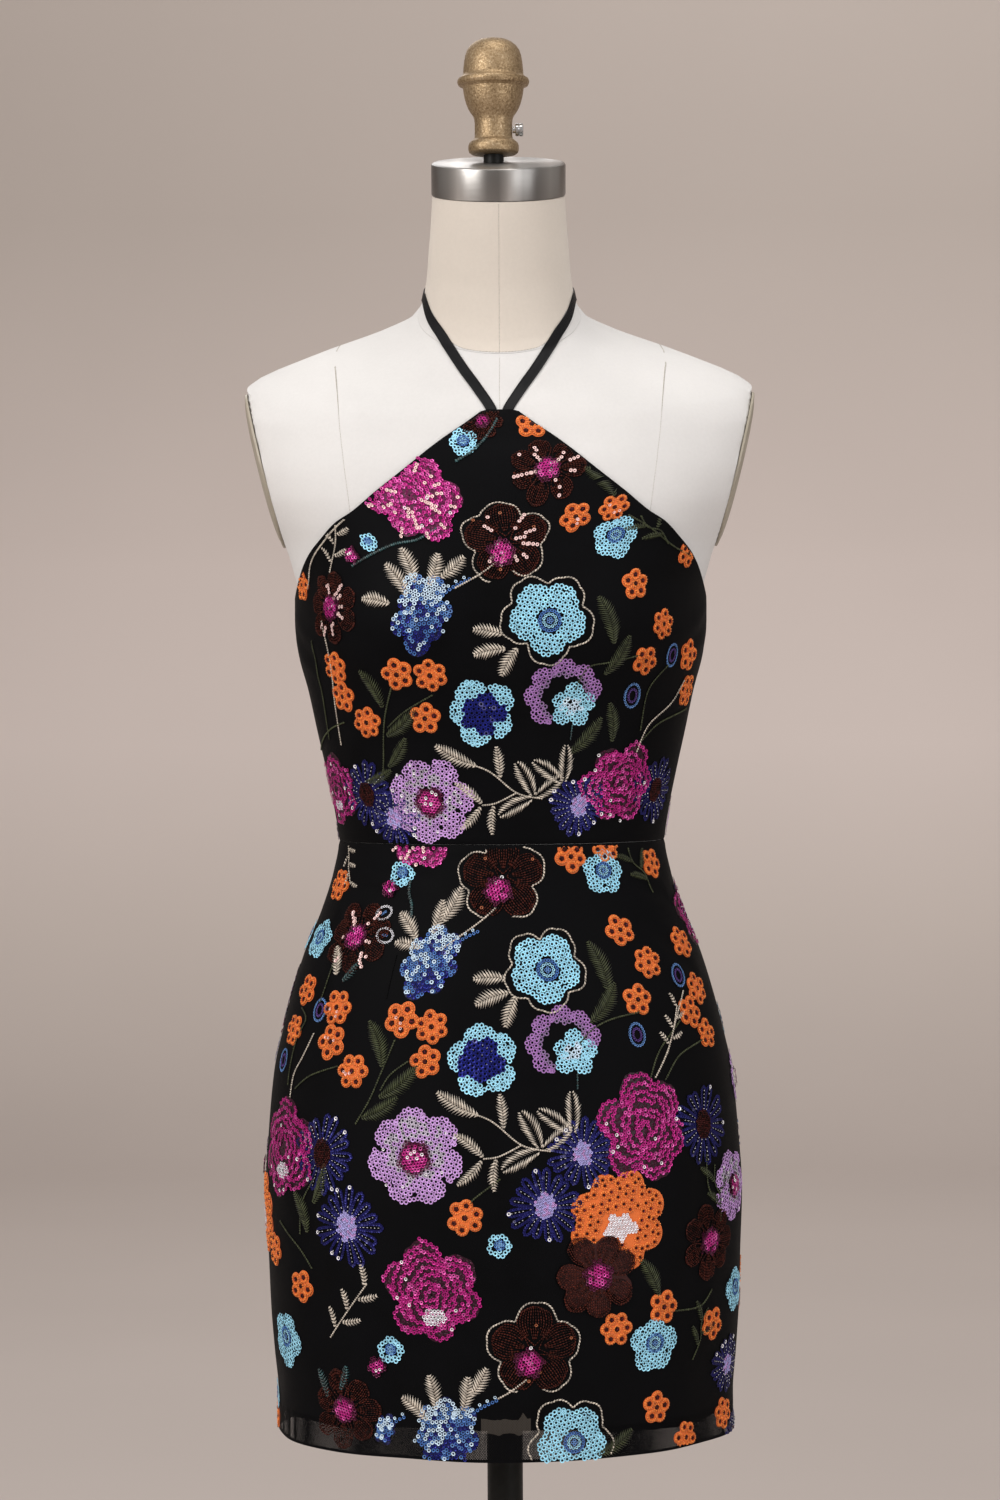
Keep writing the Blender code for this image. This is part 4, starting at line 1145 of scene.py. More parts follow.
def magenta_rose(patch, across, seed, bright=False):
    """A dark magenta ground with broken, turning rows of bright pink sequins."""
    radius = across / 2
    outline = lobed(radius, 6, 0.35 * seed, seed, 0.37, 0.15, 0.05, 17)
    # The bright rose is partly painted light, for roses where the light falls: a lighter ground and a
    # larger share of pink sequins; its closer, more zigzag rows are its own.
    patch.ground("ground_magenta" if bright else "ground_plum", outline)
    own = np.random.default_rng(seed + 20)
    pitch, zigzag, pink_share = (4.8, 0.66, 0.32) if bright else (5.5, 0.55, 0.16)
    step = 2.4  # from sequin to sequin along a row
    level = 1 - 0.45 * pitch / radius
    while level > 0.10:
        angle = own.uniform(0, 2 * np.pi)
        stop = angle + 2 * np.pi
        while angle < stop - 0.25:
            span = min(own.uniform(0.5, 1.5) * (0.6 / level) ** 0.5, stop - angle)
            turns = np.linspace(angle, angle + span, 14)
            drift = level + own.uniform(-0.09, 0.09) * np.linspace(-1, 1, 14)
            fade = np.clip(level * 1.25 - 0.1, 0, 1)
            reach = (outline(turns) * fade + 0.86 * radius * (1 - fade)) * drift
            places = evenly(circle(turns) * reach[:, None], step)
            if len(places) > 1:
                aside = np.where(np.arange(len(places)) % 2, zigzag, -zigzag)[:, None]
                places = places + crosswise(np.gradient(places, axis=0)) / step * aside
            high = chance.uniform(size=len(places)) < pink_share
            patch.rings("sequin_magenta", places[~high], 2.95, 0.8, 0.42)
            patch.rings("sequin_pink", places[high], 3.05, 0.85, 0.42)
            angle += span + 3.0 / (level * radius)
        level -= pitch / radius
    # Pale and white sequins over the rows: painted glints.
    if bright:
        painted_glint_rows(patch, radius * 0.95, seed, 30)
    painted_glints(patch, 6, radius * 0.85, seed, (0, 0), 2.7, 1.2)
    if seed % 2 and not bright:
        places = hexes(radius * 0.221, 2.7)
        places = places[polar(places * (0.8, 1.15))[0] < radius * 0.17]
        patch.rings("sequin_silver", places + (0.05 * radius, -0.40 * radius), 2.8, 0.95)


def bright_rose(patch, across, seed):
    # A lit copy of the rose, partly painted light.
    magenta_rose(patch, across, seed, True)


def orange_loop(patch, middle, radius, wide):
    path = circle(np.linspace(0, 2 * np.pi, 40)) * radius + middle
    patch.rope("thread_orange", path, wide, 1.7, 1.3, 0.3, 3, 0.08)


def dark_spot(patch, spot, aim, size, lit):
    """The dark middle of a thread loop, sometimes with a glint."""
    here = np.array([spot])
    spoke = 0.45 * size * circle(aim + 2 * np.pi * np.arange(5) / 5)
    patch.links("thread_brown", here - 0.4 * spoke, here + 2.3 * spoke, 1.5 * size, 0.8, 0.6, 3)
    if chance.uniform() < lit:
        reach = circle(aim) * 0.5 + 0.3
        patch.links("bead_garnet", here - reach, here + reach, 0.7, 0.5, 1.3, 3)


def orange(patch, across, seed):
    """Five or six fused loops of thick orange thread, each with a dark middle."""
    radius = across / 2
    count, share = (6, 0.36) if seed % 2 else (5, 0.42)
    outline = lobed(radius, count, seed, seed, share, 0.03)
    patch.ground("thread_orange_flat", outline, 0.45, 5, 48)
    orange_loop(patch, (0, 0), radius * 0.20, 1.7)
    own = np.random.default_rng(seed)
    own.uniform(size=count)  # the outline's own draw of its reach comes first
    jitter = own.uniform(-0.10, 0.10, count)
    for k in range(count):
        angle = seed + 2 * math.pi * (k + jitter[k]) / count
        spot = circle(angle) * radius * (1 - share)
        orange_loop(patch, spot, radius * share * 0.70, 2.8)
        dark_spot(patch, spot, angle, 0.42 * radius * share, 0.8)
    dark_spot(patch, (0, 0), seed, 0.17 * radius, 0.8)


def lit_orange(patch, across, seed):
    orange(patch, across, seed)
    # Pale pink sequins near the middle: painted glints.
    painted_glints(patch, 3, across * 0.25, seed, (0, 0), 2.3, 1.5, "blush")


def big_orange(patch, across, seed):
    """A broad flower of many orange loops round a silver heart."""
    radius = across / 2
    outline = lobed(radius, 8, 0.4, seed, 0.30, 0.04)
    patch.ground("thread_orange_flat", outline, 0.45, 6, 72)
    spots = hexes(radius, 6.6, 0.3)
    far, angle = polar(spots)
    keep = (far < outline(angle) - 7.4) & (polar(spots * (0.8, 1) + (0, 4))[0] > 0.34 * radius)
    spots = np.concatenate((spots[keep], evenly(edge_path(outline) * 0.89, 6.6)[:-1]))
    spots = spots[polar(spots + (0.43 * radius, 1.07 * radius))[0] > 0.72 * radius]
    for middle in spots:
        orange_loop(patch, middle, 2.5, 2.1)
        dark_spot(patch, middle, 1.2, 1.25, 0.3)
    places = hexes(radius * 0.5, 2.5)
    edge = radius * (0.27 + 0.04 * np.cos(5 * polar(places)[1] + 1))
    places = places[polar(places * (0.85, 1.1))[0] < edge]
    patch.rings("sequin_silver", places - (0, 4), 2.6, 1.1, 0.34)


def blue_cluster(patch, across, seed):
    """An uneven cluster of pale sequins on a royal blue ground, with an arm."""
    radius = across / 2
    round_edge = lobed(radius, 7, 0.3 * seed, seed, 0.30, 0.24)

    def outline(angle):
        return round_edge(angle) * (1 - 0.16 * np.cos(2 * angle + 0.5))

    patch.ground("ground_royal", outline)
    places = filled(outline, 3.4, 0.1)
    slope = places @ (0.35, -0.75) / radius + chance.normal(0, 0.55, len(places))
    for name, low, high, size, lift in (
        ("ice", -9.0, -0.30, 3.2, 1.0), ("steel_blue", -0.30, 0.0, 3.1, 0.8),
        ("mid_blue", 0.0, 0.42, 3.1, 0.65), ("royal", 0.42, 9.0, 3.0, 0.55),
    ):
        patch.rings("sequin_" + name, places[(slope >= low) & (slope < high)], size, lift)
    arm = evenly(radius * curve((0.50, 0.40), (0.9, 0.70), (1.30, 0.90)), 3.1)
    patch.rings("sequin_mid_blue", arm - (0, 1.0), 2.6, 0.5)
    patch.rings("sequin_ice", arm[1::2] + (-0.9, 1.4), 2.4, 0.9)
    # Pale blue sequins over the cluster: painted glints.
    painted_glints(patch, 5, radius * 0.85, seed, (0, 0), 2.9, 1.4, "ice")


def bud(patch, across, seed):
    """A small magenta bud."""
    heart(patch, across / 2, (0, 0), seed)
    # White sequins on the bud: painted glints.
    painted_glints(patch, 2, across * 0.25, seed, (0, 0), 2.3, 2.4)


def leaf(patch, length, thread, wide, bend, base, aim=0.0, spacing=2.2, slant=0.7, split=False):
    """A pointed leaf of slanting satin stitches that cross its rib, or leave it open."""
    t = np.linspace(0, 1, 40)
    rib = length * np.stack((bend * np.sin(np.pi * t) * 0.5, t), 1)
    rib = evenly(spun(rib, math.radians(aim)) + base, spacing)
    along = unit(np.gradient(rib, axis=0))
    t = np.linspace(0, 1, len(rib))[:, None]
    half = length * wide / 2 * np.sin(np.pi * t**0.85) ** 0.7
    for sign in (-1, 1):
        reach = half * (1.08 + chance.uniform(-0.10, 0.10, half.shape))
        inner = np.minimum(0.5, 0.3 * reach) if split else -0.40 * reach
        start = rib + crosswise(along) * sign * inner - along * 0.25 * reach
        end = rib + crosswise(along) * sign * reach + along * reach * slant
        patch.links("thread_" + thread, start[1:-1], end[1:-1], 0.86 * spacing, 1.25, 0.15, 3)


def beige_leaf(patch, across, seed):
    leaf(patch, across, "beige", 0.44, 0.1, (0, -across / 2))


def olive_leaf(patch, across, seed):
    leaf(patch, across * 1.15, "olive", 0.34, 0.16, (0, -across * 0.57), 0, 1.8, 0.6)


def teal_leaf(patch, across, seed):
    leaf(patch, across, "teal", 0.34, 0.1, (0, -across / 2))


def branch(patch, across, seed):
    """A forked beige stem with slim single leaves and split pairs."""
    stalk = across * curve((-0.62, 0.22), (-0.30, 0.12), (-0.02, -0.10), (0.24, -0.16))
    fork = across * curve((-0.02, -0.10), (-0.22, -0.20), (-0.36, -0.22))
    for path in (stalk, fork):
        patch.rope("thread_beige", path, 1.5, 1.7, 1.2, 0.1, 4, 0.0, 0.3)
    for long, wide, bend, base, aim in (
        (0.46, 0.34, -0.1, stalk[9], 62), (0.34, 0.30, 0.06, stalk[17], 6),
        (0.36, 0.30, 0.1, fork[22], 52), (0.34, 0.30, -0.14, fork[24], 136),
        (0.32, 0.30, 0.14, fork[13], 176),
    ):
        leaf(patch, across * long, "beige", wide, bend, base, aim)
    for long, aim in ((0.40, 28), (0.36, -52), (0.40, 118)):
        leaf(patch, across * long, "beige", 0.40, 0.08, stalk[-6], aim, split=True)
    for aim in (0, 54):
        leaf(patch, across * 0.40, "beige", 0.36, 0.06, (0.44 * across, -0.02 * across), aim, split=True)


def sprig(patch, across, seed):
    """A slim beige stem with short, curved leaves."""
    stalk = across * curve((-0.05, -0.5), (0.02, -0.1), (0.1, 0.5))
    patch.rope("thread_beige", stalk, 1.5, 1.8, 1.2)
    for index, aim in ((6, 50), (10, -50), (14, 46), (18, -46), (22, 40)):
        leaf(patch, across * 0.34, "beige", 0.32, 0.16, stalk[index], aim)


def olive_spray(patch, across, seed):
    """An olive stem with slender leaves."""
    stalk = across * curve((0, -0.5), (0.06, -0.1), (-0.04, 0.2), (0.04, 0.5))
    patch.rope("thread_olive", stalk, 1.5, 1.8, 1.2)
    for index, aim in ((8, 44), (16, -50), (24, 40)):
        leaf(patch, across * 0.46, "olive", 0.32, 0.14, stalk[index], aim, 1.8, 0.6)


# The flowers: the column and row of each middle in the picture, its size in millimetres and its
# turn in degrees, anticlockwise.
Motif = namedtuple("Motif", "make column row across turn", defaults=(0,))
BODICE = [Motif(*row) for row in (
    (maroon_flower, 482, 422, 32), (small_blue, 463, 443, 24, 10), (bright_rose, 410, 495, 78, 20),
    (lit_maroon_flower, 548, 470, 58), (orange, 532, 425, 24), (olive_leaf, 600, 482, 32, 50),
    (lit_orange, 575, 517, 24), (lit_orange, 614, 508, 23, 30), (small_blue, 615, 537, 36),
    (olive_spray, 655, 530, 42, 60), (orange, 688, 553, 23), (lit_maroon, 506, 540, 68),
    (small_blue, 369, 543, 17), (bud, 353, 555, 13), (sprig, 334, 545, 46, -22),
    (beige_leaf, 322, 522, 18, 10), (beige_leaf, 397, 580, 30, 30), (beige_leaf, 408, 566, 30, 15),
    (beige_leaf, 376, 602, 26, 80), (beige_leaf, 433, 570, 28, -20), (beige_leaf, 452, 567, 26, -50),
    (blue_cluster, 420, 612, 54), (lit_maroon_flower, 332, 608, 58), (orange, 303, 585, 24),
    (blue_flower, 548, 618, 70), (beige_leaf, 488, 633, 24, 80), (beige_leaf, 490, 652, 26, 100),
    (beige_leaf, 510, 662, 26, 150), (orange, 635, 584, 24), (orange, 663, 624, 24, 40),
    (orange, 645, 661, 24), (olive_leaf, 607, 620, 34, 20), (olive_leaf, 617, 655, 32, -30),
    (blue_oval, 632, 695, 14), (orange, 689, 655, 26), (orange, 686, 690, 26, 30),
    (blue_oval, 672, 655, 13), (blue_navy, 482, 712, 56), (lilac_arc, 565, 697, 60),
    (orange, 335, 668, 26), (orange, 343, 697, 25, 20), (orange, 367, 723, 25), (orange, 397, 674, 26),
    (orange, 430, 675, 26, 30), (orange, 425, 718, 25, 10), (olive_leaf, 371, 690, 30, 28),
    (olive_leaf, 400, 722, 30, -52), (olive_leaf, 396, 753, 26, -38), (olive_leaf, 378, 775, 24, -70),
    (magenta_rose, 337, 790, 60), (brown_daisy, 367, 795, 52), (navy_daisy, 395, 818, 44),
    (bright_lilac, 430, 800, 68), (branch, 519, 783, 76), (magenta_rose, 620, 783, 70),
    (navy_daisy, 578, 805, 46), (brown_daisy, 655, 790, 50), (lilac_flower, 665, 822, 40),
    (olive_leaf, 585, 735, 32, -40), (olive_leaf, 610, 722, 28, 10),
)]
SKIRT = [Motif(*row) for row in (
    (bright_rose, 420, 827, 64), (orange, 340, 885, 26), (sprig, 350, 862, 34, -150),
    (beige_leaf, 336, 962, 26, 20), (teal_leaf, 350, 972, 22, -40), (small_blue, 403, 873, 22),
    (bud, 391, 888, 13), (lit_maroon_flower, 357, 937, 60), (silver_oval, 384, 913, 13, 20),
    (silver_oval, 385, 936, 14, -20), (beige_leaf, 408, 927, 28, 40), (beige_leaf, 408, 946, 24, 80),
    (beige_leaf, 438, 918, 28, -10), (beige_leaf, 452, 905, 30, -25), (blue_cluster, 430, 962, 52),
    (maroon_outlined, 503, 878, 68), (orange, 571, 857, 25), (orange, 606, 846, 24),
    (small_blue, 603, 873, 36), (olive_spray, 640, 870, 40, 30), (orange, 651, 863, 24),
    (navy_daisy, 684, 908, 52), (orange, 620, 930, 25), (orange, 648, 963, 25, 20),
    (orange, 638, 1000, 25), (blue_flower, 546, 968, 68), (beige_leaf, 490, 980, 26, 90),
    (beige_leaf, 492, 1000, 28, 110), (beige_leaf, 512, 1012, 26, 160), (olive_leaf, 598, 968, 36, 15),
    (olive_leaf, 603, 1003, 34, -40), (orange, 682, 942, 26), (orange, 690, 1012, 26, 30),
    (orange, 697, 988, 26), (orange, 707, 1034, 24), (blue_oval, 678, 975, 13),
    (blue_oval, 637, 1035, 13), (sprig, 672, 1030, 40, -20), (lilac_arc, 565, 1045, 60),
    (blue_navy, 482, 1062, 59), (lit_orange, 402, 1020, 28), (orange, 432, 1027, 26, 30),
    (orange, 425, 1063, 25), (lit_orange, 337, 1008, 28), (lit_orange, 331, 1043, 28, 40),
    (lit_orange, 352, 1072, 27), (orange, 307, 990, 25), (orange, 294, 1030, 25),
    (small_blue, 320, 940, 34), (blue_oval, 320, 1010, 13), (blue_oval, 284, 1060, 13),
    (olive_leaf, 375, 1045, 34, 25), (olive_leaf, 397, 1083, 34, -50), (olive_leaf, 300, 1214, 30, 25),
    (olive_leaf, 378, 1108, 30, -60), (magenta_rose, 283, 1150, 78), (brown_daisy, 322, 1155, 60),
    (navy_daisy, 347, 1228, 60), (lilac_flower, 415, 1157, 76), (orange, 465, 1219, 28),
    (small_blue, 500, 1248, 20), (branch, 524, 1134, 82), (magenta_rose, 645, 1128, 82),
    (navy_daisy, 583, 1155, 52), (navy_daisy, 545, 1207, 56), (big_orange, 256, 1212, 66),
    (big_orange, 620, 1222, 78), (upper_maroon, 598, 1277, 66), (brown_daisy, 703, 1125, 60),
    (maroon_flower, 710, 1242, 60), (lilac_flower, 733, 1185, 56), (magenta_rose, 432, 1297, 82),
    (sprig, 345, 1312, 54, -30), (orange, 275, 1250, 26), (orange, 301, 1288, 25),
    (small_blue, 287, 1340, 44), (small_blue, 391, 1353, 22), (bud, 377, 1368, 14),
    (maroon_flower, 345, 1412, 60), (teal_leaf, 323, 1385, 24, 20), (teal_leaf, 343, 1380, 22, -20),
    (beige_leaf, 415, 1412, 28, 50), (beige_leaf, 432, 1395, 28, 10), (beige_leaf, 465, 1397, 28, -10),
    (beige_leaf, 478, 1384, 26, -30), (blue_cluster, 386, 1430, 22), (blue_cluster, 445, 1436, 58),
    (maroon_outlined, 535, 1352, 72), (blue_flower, 573, 1442, 66), (orange, 617, 1331, 26),
    (orange, 664, 1309, 26, 30), (small_blue, 655, 1347, 42), (orange, 657, 1410, 25),
    (orange, 686, 1440, 25), (orange, 713, 1325, 26), (orange, 724, 1415, 25),
    (olive_leaf, 650, 1280, 30, 30), (olive_spray, 700, 1335, 40, -20),
    (olive_leaf, 615, 1445, 30, -60), (small_blue, 735, 1290, 36), (navy_daisy, 727, 1365, 44),
    (magenta_rose, 700, 905, 60), (small_blue, 289, 925, 30), (olive_leaf, 318, 1185, 30, -20),
    (olive_spray, 718, 1195, 44, 10), (small_blue, 260, 1395, 30), (orange, 262, 1420, 26),
    (brown_daisy, 742, 1445, 40), (blue_oval, 272, 1048, 14), (lilac_flower, 740, 1075, 44),
)]


# Stems between the flowers: a few places in the picture, the thread and its width.
Stem = namedtuple("Stem", "panel places thread wide", defaults=("olive", 1.6))
STEMS = [Stem(*row) for row in (
    ("bodice", ((497, 419), (486, 437), (472, 452), (455, 462)), "teal", 3.0),
    ("bodice", ((437, 528), (418, 540), (395, 545), (372, 555), (352, 566)), "teal", 2.8),
    ("bodice", ((497, 562), (480, 574), (455, 588)), "beige", 1.7),
    ("bodice", ((345, 520), (326, 540), (312, 562), (308, 590)), "beige"),
    ("bodice", ((628, 515), (650, 528), (672, 545), (690, 556))),
    ("bodice", ((640, 655), (610, 662), (588, 668), (575, 690))),
    ("bodice", ((392, 685), (385, 720), (384, 760), (383, 775))),
    ("bodice", ((433, 695), (405, 712), (388, 728))), ("bodice", ((345, 722), (330, 730), (322, 750))),
    ("bodice", ((668, 665), (648, 690), (640, 730))), ("bodice", ((686, 708), (660, 722), (640, 742))),
    ("bodice", ((684, 680), (672, 702), (648, 725), (636, 752)), "beige"),
    ("bodice", ((322, 620), (330, 660), (335, 700), (342, 745)), "beige"),
    ("bodice", ((312, 640), (322, 690), (330, 740)), "olive", 1.5),
    ("skirt", ((397, 954), (392, 976), (386, 999)), "black", 0.6),
    ("skirt", ((496, 908), (480, 922), (455, 940), (442, 950)), "beige", 1.7),
    ("skirt", ((411, 880), (409, 893), (412, 905), (411, 918)), "teal", 3.2),
    ("skirt", ((338, 955), (328, 980), (320, 1003))),
    ("skirt", ((302, 1008), (306, 1020), (296, 1042), (288, 1085))),
    ("skirt", ((395, 1040), (383, 1070), (370, 1100), (355, 1125)), "olive", 1.7),
    ("skirt", ((408, 1062), (390, 1075), (380, 1092))),
    ("skirt", ((338, 1066), (310, 1076), (295, 1090))),
    ("skirt", ((314, 1034), (303, 1058), (294, 1075), (290, 1098)), "beige", 1.7),
    ("skirt", ((640, 1012), (612, 1020), (592, 1030), (580, 1045))),
    ("skirt", ((680, 1020), (660, 1050), (650, 1080))),
    ("skirt", ((702, 1040), (680, 1055), (665, 1080))),
    ("skirt", ((683, 990), (676, 1020), (668, 1050), (655, 1078)), "beige", 1.7),
    ("skirt", ((314, 1180), (302, 1205), (300, 1235)), "olive", 1.7),
    ("skirt", ((280, 1222), (298, 1248), (312, 1270)), "olive", 1.7),
    ("skirt", ((706, 1155), (708, 1185), (714, 1200)), "olive", 1.7),
    ("skirt", ((675, 1312), (700, 1308), (712, 1290)), "olive", 1.8),
    ("skirt", ((527, 1381), (510, 1394), (498, 1402)), "beige", 1.7),
    ("skirt", ((500, 1180), (475, 1200), (470, 1205))),
)]


FALLS = {"bodice": 0.012, "skirt": 0.066}  # how much lower the back's flowers are


def patch_through(heights, turns, panel, surface=None):
    """A patch at the middle of a line, and the line's places on it."""
    middle = len(heights) // 2
    patch = Patch(heights[middle], turns[middle], panel, 0, surface)
    u = (turns - turns[middle]) * patch.per_turn / MM
    v = (heights - heights[middle]) * patch.per_height / MM
    return patch, np.stack((u, v), 1)


def embroider():
    """The front follows the picture. The back repeats it half a turn round and lower."""
    for stem in STEMS:
        heights, turns = np.array([cloth.under(*place) for place in stem.places]).T
        half = -math.pi if turns[0] > 0 else math.pi
        for side, turn, fall in (("_front", 0, 0), ("_back", half, FALLS[stem.panel])):
            patch, line = patch_through(heights - fall, turns + turn, stem.panel + side)
            patch.rope("thread_" + stem.thread, curve(*line), stem.wide, 1.8, 1.2, 0.12)
    for panel, motifs in (("bodice", BODICE), ("skirt", SKIRT)):
        for k, motif in enumerate(motifs):
            height, turn = cloth.under(motif.column, motif.row)
            motif.make(Patch(height, turn, panel + "_front", motif.turn), motif.across, k)
            behind = turn - math.copysign(math.pi, turn)
            patch = Patch(height - FALLS[panel], behind, panel + "_back", motif.turn)
            motif.make(patch, motif.across, k + 100)


def seam_line(surface, heights, turns, wide=0.55):
    """A closed seam on the form: a fine line of stitches along heights and turns."""
    patch, line = patch_through(heights, turns, "form", surface)
    patch.rope("seam_thread", line, wide, 2.4, 0.3, -0.05, 3, 0.0)


# How far the neck seam climbs from the centre front to the centre back.
NECK_CLIMB = ((0, 0.6), (30, 0.6), (38, 2.6), (45.7, 6.5), (57, 13.0), (68, 15.6), (80, 15.6),
              (95, 12.6), (112, 10.6), (130, 9.0), (180, 8.4))  # turn in degrees, climb in mm


def neck_seam(turn):
    """The ring height of the seam between the canvas and the jersey."""
    away = np.degrees(np.abs(wrapped(turn)))
    reach = [away + step for step in np.linspace(-6, 6, 7)]
    climb = sum(np.interp(np.abs(a), *np.array(NECK_CLIMB).T) for a in reach) / len(reach)
    return NECK[0].height * MM + climb * MM


# The left princess seam of the form's cover, from the shoulder down, as seen in the picture.
PRINCESS = ((334, 350), (337, 388), (340, 430), (344, 465), (348, 495), (356, 560), (368, 660))


def form_seams():
    """Centre, princess and neck seams of the form's cover."""
    torso_heights = np.linspace(0.69, 1.436, 260)
    neck_heights = np.linspace(1.4385, 1.5280, 40)
    for turn in (0, math.pi):
        seam_line(torso, torso_heights, turn + 0 * torso_heights)
        seam_line(neck, neck_heights, turn + 0 * neck_heights)
    columns, rows = np.array(PRINCESS, float).T
    middle = PICTURE_WIDTH / 2
    heights = np.linspace(1.24, 1.43, 260)
    for side in (-1, 1):
        quarter = side * np.linspace(0, math.pi / 2, 300)
        seen_columns, seen_rows = to_picture(torso.at(heights[:, None], quarter, 0.0))
        past = side * (seen_columns - middle) - middle + np.interp(seen_rows, rows, columns)
        reached = past[:, -1] > 0
        turns = np.array([np.interp(0, level, quarter) for level in past[reached]])
        seam_line(torso, heights[reached], turns, 0.45)
        seam_line(torso, heights[reached], math.pi - turns, 0.45)
    ring = np.linspace(-math.pi, math.pi, 300)
    seam_line(neck, neck_seam(ring) + 0.2 * MM, ring, 0.9)


# ---------------------------------------------------------------- cloth and form shells
def register(made, material, slot, *nodes, sharp=None):
    """Gives a piece its edges, material and body, and hides the solids that it replaces; the slot is not
    used.
    """
    if sharp:
        made.data.set_sharp_from_angle(angle=math.radians(sharp))
    made.data.materials.append(material)
    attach(made, BODY)
    if nodes:
        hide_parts(*nodes)
    return made


def shell(name, place, rows, columns, inner, outer, node, material, slot):
    """A closed thin wall. place(column share, row share) gives heights and turns."""
    s, t = np.meshgrid(np.linspace(0, 1, columns + 1), np.linspace(0, 1, rows + 1))
    height, turn = place(s, t)
    rolled = 0.8 * MM * np.exp(-(((height - WAIST) / (1.6 * MM)) ** 2))
    layers = [cloth.at(height, turn, out - CLOTH_OUT - rolled) for out in (inner, outer)]
    count = (rows + 1) * (columns + 1)
    grid = np.arange(count).reshape(rows + 1, columns + 1)
    quads = sheet_quads(grid)
    border = np.concatenate((grid[0, :-1], grid[:-1, -1], grid[-1, :0:-1], grid[:0:-1, 0]))
    after = np.roll(border, -1)
    rim = np.stack((border, after, after + count, border + count), 1)
    faces = np.concatenate((quads[:, ::-1], quads + count, rim))
    made = mesh_object(name, np.stack(layers).reshape(-1, 3), [faces])
    made.data.set_sharp_from_angle(angle=math.radians(60))
    fix_outward(made)
    across = float(cloth.look(cloth.per_turn, np.array(height.mean()), np.array(turn.mean())))
    flat = np.stack((turn * across, height), -1).reshape(-1, 2)
    write_map(made, np.concatenate((flat, flat)))
    register(made, material, slot, node)
    return made, sheet_area(layers[1])


def sheet_quads(grid):
    """The quads between the corners of a grid."""
    return np.stack((grid[:-1, :-1], grid[:-1, 1:], grid[1:, 1:], grid[1:, :-1]), -1).reshape(-1, 4)


def sheet_area(grid):
    """The area of a grid of points."""
    one = np.cross(grid[1:, 1:] - grid[:-1, :-1], grid[1:, :-1] - grid[:-1, 1:])
    return float(np.linalg.norm(one, axis=-1).sum() / 2)


def fix_outward(made):
    """Turns every face of a closed piece outwards."""
    mesh = bmesh.new()
    mesh.from_mesh(made.data)
    bmesh.ops.recalc_face_normals(mesh, faces=mesh.faces)
    mesh.to_mesh(made.data)
    mesh.free()


def write_map(made, flat):
    """Gives each corner its place on the flat cloth, for the weave."""
    layer = made.data.uv_layers.new(name="weave")
    index = np.empty(len(made.data.loops), np.int32)
    made.data.loops.foreach_get("vertex_index", index)
    layer.data.foreach_set("uv", flat[index].astype(np.float32).reshape(-1))


def side_turn(height):
    """Where the front ends at the side seam."""
    return math.pi / 2 - SIDE_GAP / (steady(CLOTH, "half_width", height) * MM)


def back_turn(height, half_gap):
    """Where the back ends, half a gap from its middle."""
    return math.pi - np.arcsin(half_gap / (steady(CLOTH, "half_width", height) * MM))


def zip_gap(height):
    """Half the gap between the backs: the zip's width, and a closed seam under it."""
    return np.where(height > ZIP_END - MM, ZIP_HALF + SEAM, SEAM / 2)


def bodice_front_place(s, t):
    """The front from the waist seam up to the halter edge."""
    low = WAIST + SEAM / 2
    side_gap = 0.0013  # as a turn
    turn = (2 * s - 1) * (math.pi / 2 - side_gap)
    return low + (bodice_top(turn) - low) * t, turn


def skirt_front_place(s, t):
    """The front from the waist seam down to the hem."""
    height = skirt_height(s, t)
    return height, side_turn(height) * (2 * s - 1)


def bodice_back_height(s, t):
    """Heights from the waist seam to the level back edge."""
    low = WAIST + SEAM / 2
    top = BACK_TOP + (SIDE_TOP - BACK_TOP) * np.cos(s * math.pi / 2) ** 2
    return low + (top - low) * t


def skirt_height(s, t):
    """Heights from the waist seam to the hem, at any share of the width."""
    return WAIST - SEAM / 2 + (HEM - WAIST) * t


def back_place(side, heights):
    """Half of the back, from the side seam to the zip."""

    def place(s, t):
        height = heights(s, t)
        start = math.pi - side_turn(height)
        return height, side * (start + (back_turn(height, zip_gap(height)) - start) * s)

    return place


def lining_place(s, t):
    """A strip all round, with an uneven lower edge."""
    height = LINING_TOP + (LINING_EDGE - LINING_TOP) * t
    turn = back_turn(height, SEAM / 2) * (2 * s - 1)
    edge = 1.6 * np.sin(5 * turn + 1.2) + 1.1 * np.sin(11 * turn)
    edge += 3.5 + 4 * np.cos(3 * turn + 0.4)
    return height + edge * MM * t**3, turn


def cloth_pieces():
    """The dress's panels of net over satin, and the lining's lowest strip."""
    net = cloth_material()
    jobs = [("bodice_front", bodice_front_place, 110, 120, (0.52, 0.33)),
            ("skirt_front", skirt_front_place, 130, 110, (0.52, 0.46))]
    for side, name in ((-1, "left"), (1, "right")):
        jobs += [
            ("bodice_back_" + name, back_place(side, bodice_back_height), 60, 60, (0.24, 0.19)),
            ("skirt_back_" + name, back_place(side, skirt_height), 130, 60, (0.28, 0.46)),
        ]
    for node, place, rows, columns, flat in jobs:
        made, area = shell(node + "_cloth", place, rows, columns, CLOTH_OUT - 0.9 * MM, CLOTH_OUT,
                           node, net, "embroidered_cloth")
    lining = plain_cloth_material("lining", (0.005, 0.005, 0.006), 0.6, 900, 0.05 * MM, 0.2)
    made, _ = shell("lining_strip", lining_place, 14, 180, LINING_IN - 0.8 * MM, LINING_IN,
                    "skirt_lining", lining, "lining")


